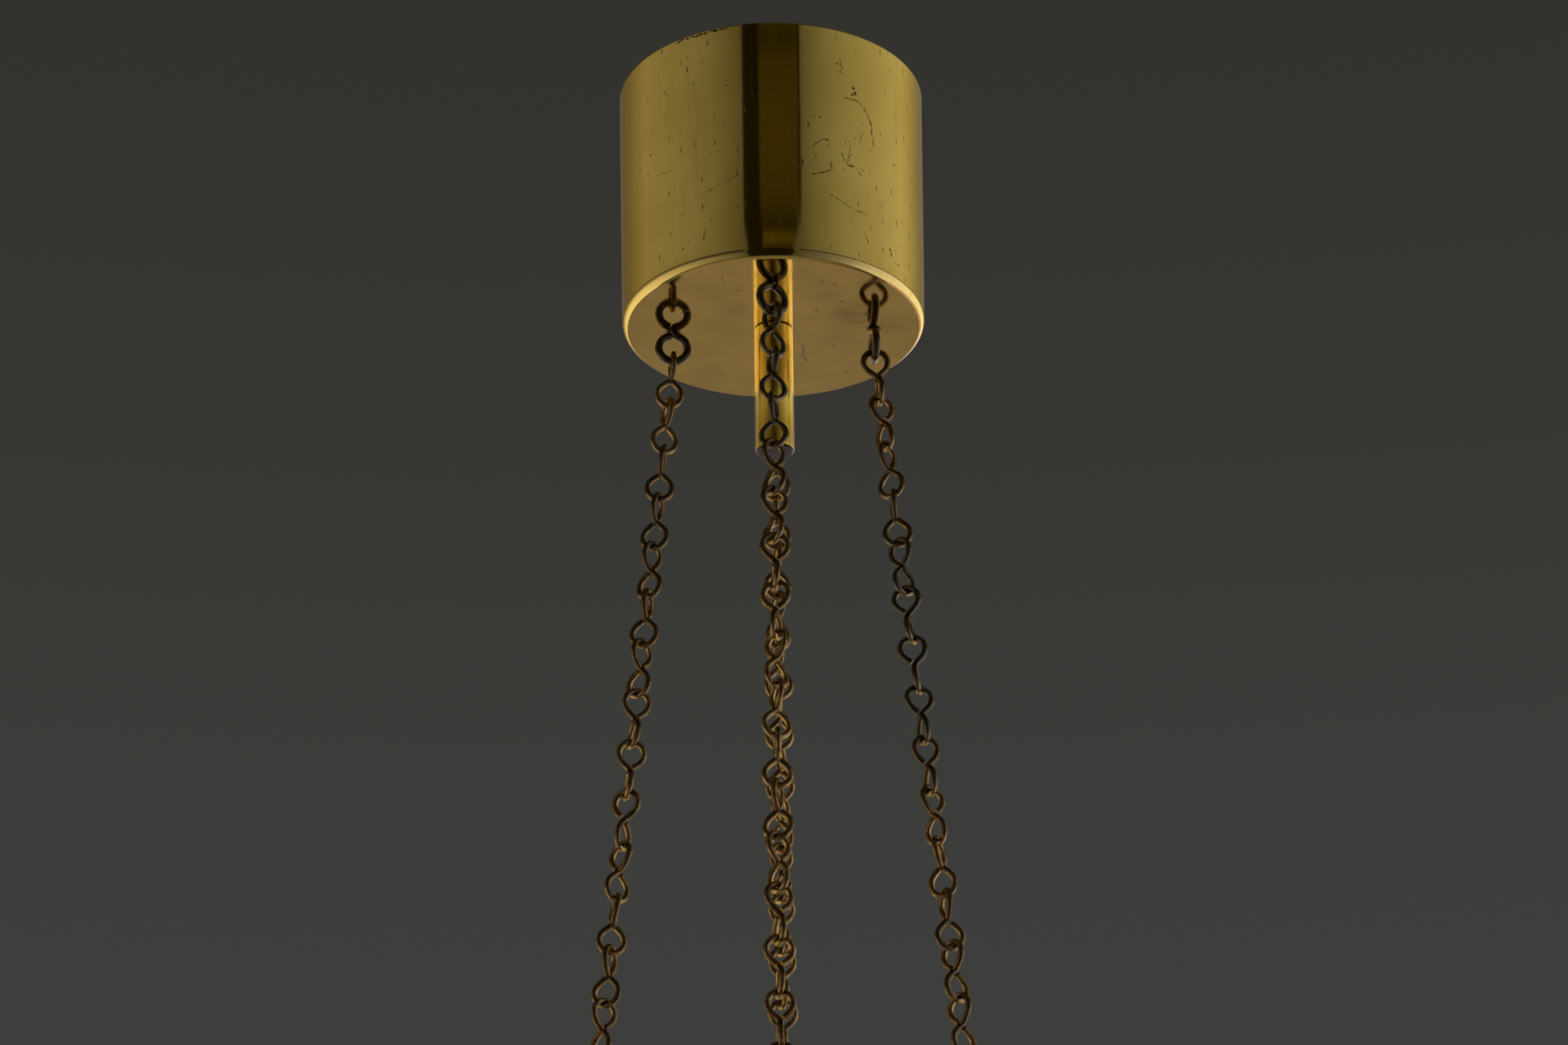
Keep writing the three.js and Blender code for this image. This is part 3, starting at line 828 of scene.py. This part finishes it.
# Jack chains
chain = {
    "wire": 2.1, "width": 11.1, "pitch": 19.0,
    "bite": 0.25, "gap": 0.35, "endGap": 0.85,   # links join within a run and hang apart elsewhere
    "runs": [(1, 1), (2, 5), (6, 9), (10, 12), (13, 15), (16, 16)], "count": 16, "sides": 12,
    "firstDrop": 0.09,   # the first link hangs this much lower, so that the second clears it as it swings
    "bend": 0.4, "dents": 0.14, "toneShake": 0.08,
    "eyeCircle": 73.0, "ringEyeCircle": 130.0, "seed": 7,
}
# Each link's turn, in degrees from +X, is where its upper loop bulges as its wire runs on into the waist.
# There the wire bends a quarter turn on, or back in the reversed links. A tone of 1 is golden.
chainLooks = {
    "left": {
        "azimuth": 180, "reversed": [2, 10, 11, 12, 13, 14, 15, 16],
        "turns": [280, 294, 270, 256, 237, 257, 232, 202, 191, 338, 314, 284, 252, 222, 200, 176],
        "tones": [
            (1, 0.6), (2, 0.65), (3, 0.3), (4, 0.25), (6, 0.35), (7, 0.5), (10, 0.55), (13, 0.4), (16, 0.45)],
    },
    "right": {
        "azimuth": 0, "reversed": [5, 6, 7, 11, 12, 13, 14, 15, 16],
        "turns": [190, 212, 238, 272, 134, 345, 354, 17, 20, 218, 250, 287, 310, 312, 326, 340],
        "tones": [
            (1, 0.4), (2, 0.5), (4, 0.2), (5, 0.1), (8, 0.05), (9, 0.25), (10, 0.55), (12, 0.45), (16, 0.45)],
    },
    "front": {
        "azimuth": -90, "reversed": [2, 8, 9, 10, 11, 12],
        "turns": [127, 110, 257, 225, 211, 188, 166, 313, 293, 276, 255, 222, 200, 190, 185, 178],
        "tones": [(1, 0.15), (3, 0.05), (4, 0.2), (6, 0.5), (9, 0.65), (16, 0.65)],
    },
    "back": {
        "azimuth": 90, "reversed": [4, 5, 9, 13, 14],
        "turns": [60, 75, 90, 105, 120, 104, 88, 72, 56, 40, 28, 17, 5, 353, 342, 330],
        "tones": [(1, 0.5), (6, 0.7), (16, 0.7)],
    },
}
chainBodies = [("top_link", 1, 1), ("chain", 2, 15), ("last_link", 16, 16)]
eye = {
    "outer": 13.5, "wire": 3.0, "thread": 6.5, "seat": 0.3, "ringPlate": 3.0,
    "lap": 0.6, "shortfall": 12,   # the turn ends this far aside and this many degrees short of its start
    "bendRoom": 0.9, "shankSteps": 8, "turnSteps": 48,
}
eyeRadius = (eye["outer"] - eye["wire"]) / 2
eyeInner = eyeRadius - eye["wire"] / 2
canopyEyeHeight = cup["bottom"] - eye["seat"] - eye["outer"] / 2
bearing = canopyEyeHeight - eyeInner


def between(keys, number):
    later = next(i for i, key in enumerate(keys) if key[0] >= number)
    (start, first), (end, last) = keys[max(later - 1, 0)], keys[later]
    return last if start == end else first + (last - first) * (number - start) / (end - start)


def chainWaists():
    waists = [chain["pitch"] / 2 - chain["gap"]]
    for number in range(2, chain["count"] + 1):
        inRun = any(first < number <= last for first, last in chain["runs"])
        waists.append(waists[-1] + chain["pitch"] + (chain["bite"] if inRun else -chain["gap"]))
    return waists


waists = chainWaists()
chainLength = waists[-1] + chain["pitch"] / 2 - chain["endGap"]
chainLean = math.asin((chain["ringEyeCircle"] - chain["eyeCircle"]) / 2 / chainLength)
ringEyeHeight = bearing - chainLength * math.cos(chainLean) - eyeInner

# Ways in which a hand-bent link differs: how far its cut ends stop from the waist, its loops' width and skew
linkKinds = [
    {"ends": (0.34, 0.30), "wide": 1.0, "skew": 0.0},
    {"ends": (0.46, 0.30), "wide": 0.98, "skew": 0.25},
    {"ends": (0.32, 0.36), "wide": 1.02, "skew": -0.2},
    {"ends": (0.38, 0.42), "wide": 0.97, "skew": 0.1},
    {"ends": (0.30, 0.30), "wide": 1.01, "skew": -0.3},
]


# One link about its waist: the upper loop lies across X and Z, the lower across Y and Z
def linkPath(kind, bendSide):
    loop = (chain["width"] - chain["wire"]) / 2
    reach = (chain["pitch"] + chain["wire"]) / 2
    touch = math.acos(loop / (reach - loop))
    arcSteps, straightSteps = 26, 7
    halves = []
    for share in kind["ends"]:
        half = []
        for i in range(arcSteps + 1):
            angle = touch + (2 * math.pi - 2 * touch) * i / arcSteps
            half.append((-loop * math.sin(angle) * kind["wide"], reach - loop - loop * math.cos(angle)))
        into = [1 - (1 - share) * i / straightSteps for i in range(straightSteps, 0, -1)]
        out = [1 - i / straightSteps for i in range(1, straightSteps)]
        (x0, z0), (x1, z1) = half[0], half[-1]
        half = [(x0 * scale, z0 * scale) for scale in into] + half
        halves.append(half + [(x1 * scale, z1 * scale) for scale in out])
    skew = kind["skew"]
    upper = [Vector((across, skew * math.sin(up * 0.5), up)) for across, up in halves[0]]
    lower = [Vector((skew * math.sin(up * 0.4), bendSide * across, -up)) for across, up in halves[1][::-1]]
    return eased(upper + [Vector((0, 0, 0))] + lower, 3)


def makeLinkKinds():
    group = bpy.data.collections.new("link_kinds")
    for i, kind in enumerate(linkKinds * 2):
        data = lineThrough(f"link_kind_{i:02d}", linkPath(kind, 1 if i < len(linkKinds) else -1))
        group.objects.link(bpy.data.objects.new(data.name, data))
    return group


def makeChainTree():
    kit, given = startTree("jack_chain", {
        "Waists": "Geometry", "Link kinds": "Collection", "Wire": "Float", "Sides": "Int", "Bend": "Float",
        "Dents": "Float", "Loop reach": "Float", "Loop centre": "Float", "Axis": "Vector",
        "Finish": "Material",
    })
    paths = kit.node("GeometryNodeCollectionInfo", {}, {
        "Collection": given["Link kinds"], "Separate Children": True, "Reset Children": True})
    section = kit.node("GeometryNodeCurvePrimitiveCircle", {}, {
        "Resolution": given["Sides"], "Radius": given["Wire"] / 2})
    bent = kit.node("GeometryNodeCurveToMesh", {}, {
        "Curve": paths, "Profile Curve": section, "Fill Caps": True})
    named = {}
    for name, kind in (("facing", "FLOAT_VECTOR"), ("kind", "INT"), ("waist", "FLOAT_VECTOR")):
        named[name] = kit.node("GeometryNodeInputNamedAttribute", {"data_type": kind}, {"Name": name})
    hung = kit.node("GeometryNodeInstanceOnPoints", {}, {
        "Points": given["Waists"], "Instance": bent, "Pick Instance": True,
        "Instance Index": named["kind"], "Rotation": named["facing"]})
    whole = kit.node("GeometryNodeRealizeInstances", {}, {"Geometry": hung})
    where = kit.node("GeometryNodeInputPosition")
    offset = kit.vector("SUBTRACT", where, named["waist"])
    far = kit.vector("LENGTH", offset, output=1) / given["Loop reach"]
    rise = kit.vector("DOT_PRODUCT", offset, given["Axis"], output=1)
    centre = kit.times(given["Axis"], rise.maths("SIGN", rise) * given["Loop centre"])
    outward = kit.vector("NORMALIZE", kit.vector("SUBTRACT", offset, centre))
    # how far the surface faces the middle of its loop, for the painted reflection on the loops' insides
    inner = kit.vector("DOT_PRODUCT", outward, kit.node("GeometryNodeInputNormal"), output=1) * -1.0
    for name, value in (("wear", far.step(0.86, 1.06)), ("inner", inner.step(0.1, 0.9))):
        whole = kit.node("GeometryNodeStoreNamedAttribute", {"data_type": "FLOAT", "domain": "POINT"}, {
            "Geometry": whole, "Name": name, "Value": value})
    sway = kit.times(kit.drift(where, 95, 1), given["Bend"])
    dent = kit.times(kit.drift(where, 620, 2), given["Dents"])
    whole = kit.node("GeometryNodeSetPosition", {}, {
        "Geometry": whole, "Offset": kit.vector("ADD", sway, dent)})
    return endTree(kit, whole, given["Finish"])


def makeChain(name, looks, tree, kinds, dice):
    azimuth = math.radians(looks["azimuth"])
    wire, pitch, shake = chain["wire"], chain["pitch"], chain["toneShake"]
    outward = Vector((*polar(1, azimuth), 0))
    start = outward * chain["eyeCircle"] / 2 + Vector((0, 0, bearing))
    hang = Matrix.Rotation(azimuth, 3, "Z") @ Matrix.Rotation(-chainLean, 3, "Y")
    for part, first, last in chainBodies:
        places, facings, tones, picks = [], [], [], []
        for number in range(first, last + 1):
            turn = math.radians(looks["turns"][number - 1]) - azimuth
            down = waists[number - 1] + chain["firstDrop"] * (number == 1)
            places.append((start + hang @ Vector((0, 0, -down))) * mm)
            facings += (hang @ Matrix.Rotation(turn, 3, "Z")).to_euler("XYZ")[:]
            tones.append(between(looks["tones"], number) + dice.uniform(-shake, shake))
            picks.append(dice.randrange(len(linkKinds)) + len(linkKinds) * (number in looks["reversed"]))
        mesh = bpy.data.meshes.new(f"{name}_{part}")
        mesh.from_pydata(places, [], [])
        for label, kind, key, numbers in (
                ("facing", "FLOAT_VECTOR", "vector", facings),
                ("waist", "FLOAT_VECTOR", "vector", [number for where in places for number in where]),
                ("tone", "FLOAT", "value", tones), ("kind", "INT", "value", picks)):
            mesh.attributes.new(label, kind, "POINT").data.foreach_set(key, numbers)
        piece = link(f"{name}_{part}_links", mesh)
        addTree(piece, tree, {
            "Link kinds": kinds, "Wire": wire * mm, "Sides": chain["sides"], "Bend": chain["bend"] * mm,
            "Dents": chain["dents"] * mm, "Loop reach": (pitch + wire) / 2 * mm, "Finish": finishes["chain"],
            "Loop centre": (pitch + 2 * wire - chain["width"]) / 2 * mm, "Axis": hang @ Vector((0, 0, 1)),
        })
        settle(piece, 50)
        runs = [run for run in chain["runs"] if first <= run[0] <= last]
        spans = [f"_{low:02d}" if low == high else f"s_{low:02d}_{high:02d}" for low, high in runs]
        replaced = [f"{name}_link{span}" for span in spans]
        place(piece, f"{name}_{part}", "chain_patina", replaced, "chain")


def makeChains():
    tree, kinds, dice = makeChainTree(), makeLinkKinds(), random.Random(chain["seed"])
    for name, looks in chainLooks.items():
        makeChain(name, looks, tree, kinds, dice)
    for helper in list(kinds.objects):
        bpy.data.objects.remove(helper)
    bpy.data.collections.remove(kinds)


makeChains()
print("chains ready")


# Eyes: the wire comes down as the shank, runs once round and stops beside its start, a little to one side
def eyePath(shankTop):
    steps, turnSteps, side = eye["shankSteps"], eye["turnSteps"], eye["lap"] / 2
    stop = 2 * math.pi - math.radians(eye["shortfall"])
    drop = shankTop - eyeRadius - eye["bendRoom"]
    path = [Vector((0, -side, shankTop - drop * i / steps)) for i in range(steps + 1)]
    for i in range(1, turnSteps + 1):
        share = i / turnSteps
        angle = stop * share
        across, up = eyeRadius * math.sin(angle), eyeRadius * math.cos(angle)
        path.append(Vector((across, eye["lap"] * (share - 0.5), up)))
    return eased(path, 1)


# Each end has its body, circle, height and plate, and the link that hangs there with the eye's turn from it
chainEnds = {
    "canopy": {
        "body": "ceiling_cup", "circle": chain["eyeCircle"], "height": canopyEyeHeight, "plate": cup["wall"],
        "side": 1, "link": 0, "turned": 90,
    },
    "ring": {
        "body": "candle_ring", "circle": chain["ringEyeCircle"], "height": ringEyeHeight,
        "plate": eye["ringPlate"], "side": -1, "link": -1, "turned": 0,
    },
}


def makeEye(name, looks, end):
    azimuth = math.radians(looks["azimuth"])
    outward = Vector((*polar(1, azimuth), 0))
    centre = outward * end["circle"] / 2 + Vector((0, 0, end["height"]))
    spin = Matrix.Rotation(math.radians(looks["turns"][end["link"]] + end["turned"]), 3, "Z")
    path = eyePath(eye["outer"] / 2 + eye["seat"] + end["plate"] + eye["thread"])
    places = [spin @ Vector((point.x, point.y, end["side"] * point.z)) + centre for point in path]
    piece = wireAlong(name + "_wire", places, eye["wire"], 16)
    # how far each corner faces up, which the eye's painted light reads
    facing = [corner.normal.z for corner in piece.data.vertices]
    piece.data.attributes.new("upward", "FLOAT", "POINT").data.foreach_set("value", facing)
    place(piece, end["body"], "eye_patina", [name], "eye")


for name, looks in chainLooks.items():
    for level, end in chainEnds.items():
        makeEye(f"{name}_{level}_eye", looks, end)
print("eyes ready")


# Steel parts inside the cup
hanger = {
    "wire": 4.0, "ring": 18.0, "bore": 3.35, "boreDepth": 8.0,
    "bossRadius": 5.0, "bossLength": 12.0, "bossSlope": 2.5, "bossTop": 3.4,
    "rod": 6.0, "pitch": 1.0, "threadDepth": 0.55, "turnRows": 5, "turnSides": 24,
    "washer": 26.0, "lockNutAcross": 10.0, "eyeNutAcross": 5.5, "eyeNutBore": 1.85, "nutChance": 40,
    "nutFlat": 0.97, "nutDrop": 0.16,   # shares of a nut's flats and height at which its corners go
    "nutMouth": 0.5,   # depth of the 45 degree mouth of its bore
}


# A box between two corners, as a cutter
def block(name, low, high):
    across, along, up = zip(low, high)
    corners = [(x * mm, y * mm, z * mm) for x in across for y in along for z in up]
    faces = [(0, 1, 3, 2), (4, 6, 7, 5), (0, 4, 5, 1), (2, 3, 7, 6), (0, 2, 6, 4), (1, 5, 7, 3)]
    return makeMesh(name, corners, faces)


# Hexagon nut on the plane z = 0, its corners taken off by a cone at both ends
def makeNut(name, across, height, bore):
    corner = across / 2 / math.cos(math.pi / 6)
    prism = lathe(name, [(0, 0), (corner, 0), (corner, height), (0, height)], 6)
    flat, drop, wide = across / 2 * hanger["nutFlat"], height * hanger["nutDrop"], corner * 1.01
    blank = [(0, 0), (flat, 0), (wide, drop), (wide, height - drop), (flat, height), (0, height)]
    combine(prism, [lathe("blank", blank, 48)], "INTERSECT")
    deep = hanger["nutMouth"]
    mouth = bore + deep + 1
    relief = [(0, -1), (mouth, -1), (bore, deep), (bore, height - deep), (mouth, height + 1), (0, height + 1)]
    return combine(prism, [lathe("relief", relief, 32)], "DIFFERENCE")


# A rod with its thread, which runs out at both ends
def threaded(name, diameter, low, high):
    rows, sides, pitch = hanger["turnRows"], hanger["turnSides"], hanger["pitch"]
    count = round((high - low) / pitch * rows)
    rings = []
    for i in range(count + 1):
        height = low + (high - low) * i / count
        chamfer = max(0.0, 1 - min(height - low, high - height) / pitch) * 0.5
        ring = []
        for j in range(sides):
            depth = hanger["threadDepth"] * (0.5 - 0.5 * math.cos(2 * math.pi * (i / rows - j / sides)))
            ring.append((*polar(diameter / 2 - max(depth, chamfer), 2 * math.pi * j / sides), height))
        rings.append(ring)
    return settle(skin(name, [[(0, 0, low)], *rings, [(0, 0, high)]], sides), 50)


# Copies of one piece at even turns round the middle, each with a chance turn of its own
def makeRoundTree():
    kit, given = startTree("set_round", {
        "Piece": "Object", "Count": "Int", "Circle radius": "Float", "First turn": "Float",
        "Chance turn": "Float", "Seed": "Int", "Finish": "Material",
    })
    first = given["First turn"]
    circle = kit.node("GeometryNodeMeshCircle", {}, {
        "Vertices": given["Count"], "Radius": given["Circle radius"]})
    circle = kit.node("GeometryNodeTransform", {}, {
        "Geometry": circle, "Rotation": kit.join(0.0, 0.0, first)})
    piece = kit.outputs("GeometryNodeObjectInfo", {}, {"Object": given["Piece"]})["Geometry"]
    turn = kit.node("GeometryNodeInputIndex") * (2 * math.pi) / given["Count"] + first
    chance = kit.node("FunctionNodeRandomValue", {"data_type": "FLOAT"}, {"Seed": given["Seed"]}, output=1)
    turn = turn + (chance - 0.5) * given["Chance turn"]
    copies = kit.node("GeometryNodeInstanceOnPoints", {}, {
        "Points": circle, "Instance": piece, "Rotation": kit.join(0.0, 0.0, turn)})
    whole = kit.node("GeometryNodeRealizeInstances", {}, {"Geometry": copies})
    return endTree(kit, whole, given["Finish"])


roundTree = makeRoundTree()


# Sets four copies of a piece round the middle and takes the piece itself away
def setRound(name, piece, circle, firstDegrees, finish, chanceDegrees):
    holder = link(name, bpy.data.meshes.new(name))
    addTree(holder, roundTree, {
        "Piece": piece, "Count": 4, "Circle radius": circle / 2 * mm, "Seed": 3, "Finish": finishes[finish],
        "First turn": math.radians(firstDegrees), "Chance turn": math.radians(chanceDegrees),
    })
    settle(holder)
    bpy.data.objects.remove(piece)
    return holder


def boxHeights(node):
    low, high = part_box(node)
    return low.z / mm, high.z / mm


def placeSteel(piece, node):
    place(piece, "ceiling_cup", "steel", [node], "steel")


def makeHanger():
    low, high = boxHeights("hanging_eye")
    wire, reach, bore = hanger["wire"] / 2, hanger["ring"] / 2, hanger["bore"]
    circle = [polar(wire, 2 * math.pi * i / 20) for i in range(20)]
    section = [(reach + x, y) for x, y in circle]
    ring = lathe("hanging_eye_ring", section, 64, closed=True)
    lift = Matrix.Translation((0, 0, (high - wire - reach) * mm))
    ring.data.transform(lift @ Matrix.Rotation(math.pi / 2, 4, "X"))
    top, radius = low + hanger["bossLength"], hanger["bossRadius"]
    boss = rounded([
        (0, low, 0), (radius, low, 0.8), (radius, top - hanger["bossSlope"], 1.5),
        (hanger["bossTop"], top, 1.2), (0, top, 0)])
    combine(ring, [lathe("boss", boss, 48)], "UNION")
    combine(ring, [peg("bore", bore, low - 1, low + hanger["boreDepth"])], "DIFFERENCE")
    placeSteel(ring, "hanging_eye")
    placeSteel(threaded("threaded_rod", hanger["rod"], *boxHeights("hanging_rod")), "hanging_rod")
    low, high = boxHeights("inner_washer")
    edge = hanger["washer"] / 2
    washer = rounded([(bore, low, 0.1), (edge, low, 0.15), (edge, high, 0.6), (bore, high, 0.3)], 3)
    placeSteel(settle(lathe("washer", washer, 72, closed=True)), "inner_washer")
    low, high = boxHeights("lock_nut")
    nut = makeNut("hexagon_lock_nut", hanger["lockNutAcross"], high - low, bore)
    placeSteel(raised(nut, low), "lock_nut")


def makeEyeNuts():
    for level, end in chainEnds.items():
        names = [f"{name}_{level}_eye_nut" for name in chainLooks]
        low, high = boxHeights(names[0])
        nut = raised(makeNut("nut", hanger["eyeNutAcross"], high - low, hanger["eyeNutBore"]), low)
        nuts = setRound(f"{level}_eye_nuts", nut, end["circle"], 0, "steel", hanger["nutChance"])
        place(nuts, end["body"], "steel", names, "steel")


makeHanger()
makeEyeNuts()
print("steel parts ready")

# Ring and what stands on it
candle = {
    "circle": 160.0, "firstDegrees": -45, "ringInner": 56.0, "ringOuter": 96.0, "ringEdge": 0.6,
    "panRadius": 23.0, "panDepth": 3.2, "panWall": 1.1, "hole": 2.35,
    "panSlope": 1.6,   # the pan's edge runs out by this for each millimetre that it rises
    "bore": 11.0, "cupWall": 1.5, "lip": 1.2, "base": 5.5, "screwDepth": 4.15,
    "footShares": (0.72, 0.78), "footHeight": 1.6,   # shares of the outside radius, at the foot and above it
    "lineHalf": 0.4, "lineDepth": 0.3,   # a turned line round the cup
    "screw": 4.0, "headRadius": 4.0, "headHeight": 2.6, "headFlat": 0.8, "headRound": 1.7,
    "slotWidth": 1.0, "slotDepth": 1.2, "chanceTurn": 150,
}


def makeRing():
    low, high = boxHeights("candle_ring")
    edge = candle["ringEdge"]
    inner, outer = candle["ringInner"], candle["ringOuter"]
    outline = rounded([(inner, low, edge), (outer, low, edge), (outer, high, edge), (inner, high, edge)], 4)
    plate = lathe("brass_ring", outline, 180, closed=True)
    holes = []
    for circle, radius, first in (
            (chain["ringEyeCircle"], cup["eyeHole"], 0), (candle["circle"], candle["hole"], 45)):
        for where in aroundMiddle(circle / 2, first):
            holes.append(peg("hole", radius, low - 1, high + 1, where, 24))
    combine(plate, holes, "DIFFERENCE")
    place(plate, "candle_ring", "ring_brass", ["candle_ring"], "ring")


def panShape():
    hole, wall = candle["hole"], candle["panWall"]
    radius, depth = candle["panRadius"], candle["panDepth"]
    flat = radius - depth * candle["panSlope"]
    return lathe("pan", rounded([
        (hole, 0, 0.2), (flat, 0, 3), (radius, depth, 0.3), (radius - wall * 0.6, depth + wall * 0.6, 0.3),
        (flat - wall * 0.3, wall, 3), (hole, wall, 0.2)]), 96, closed=True)


def candleCupShape(height):
    hole, bore, base, lip = candle["hole"], candle["bore"], candle["base"], candle["lip"]
    outside, depth, foot = bore + candle["cupWall"], candle["screwDepth"], candle["footHeight"]
    narrow, wide = (outside * share for share in candle["footShares"])
    line, half, dip = (base + height) / 2, candle["lineHalf"], candle["lineDepth"]
    shoulder = height - 2 * lip
    return lathe("socket", rounded([
        (hole, 0, 0.1), (narrow, 0, 0.5), (wide, foot, 0.8), (outside, base, 2.2),
        (outside, line - half, 0.05), (outside - dip, line, 0.2), (outside, line + half, 0.05),
        (outside, shoulder, 0.05), (outside + lip, shoulder, 1.1), (outside + lip, height, 1.1),
        (bore, height, 0.5), (bore, base, 1.2), (0, base, 0), (0, depth, 0), (hole, depth, 0)], 4), 72)


def screwShape(low, high):
    head, reach, shank = low + candle["headHeight"], candle["headRadius"], candle["screw"] / 2
    body = lathe("screw", rounded([
        (0, low, 0), (reach * candle["headFlat"], low + 0.1, 1.4), (reach, low + candle["headRound"], 0.8),
        (reach, head, 0.15), (shank, head, 0), (shank, high, 0.3), (0, high, 0)], 4), 40)
    half, depth = candle["slotWidth"] / 2, candle["slotDepth"]
    slot = block("slot", (-reach - 2, -half, low - 1), (reach + 2, half, low + depth))
    return combine(body, [slot], "DIFFERENCE")


def makeCandleSet():
    pan = raised(panShape(), boxHeights("drip_pan_1")[0])
    low, high = boxHeights("candle_cup_1")
    socket = raised(candleCupShape(high - low), low)
    screw = screwShape(*boxHeights("cup_screw_1"))
    for name, piece, node, finish, slotName, chance in (
            ("drip_pans", pan, "drip_pan", "ring", "ring_brass", 0),
            ("candle_cups", socket, "candle_cup", "ring", "ring_brass", 0),
            ("cup_screws", screw, "cup_screw", "steel", "steel", candle["chanceTurn"])):
        settle(piece)
        copies = setRound(name, piece, candle["circle"], candle["firstDegrees"], finish, chance)
        place(copies, "candle_ring", slotName, [f"{node}_{i}" for i in range(1, 5)], finish)


makeRing()
makeCandleSet()
print("ring ready")
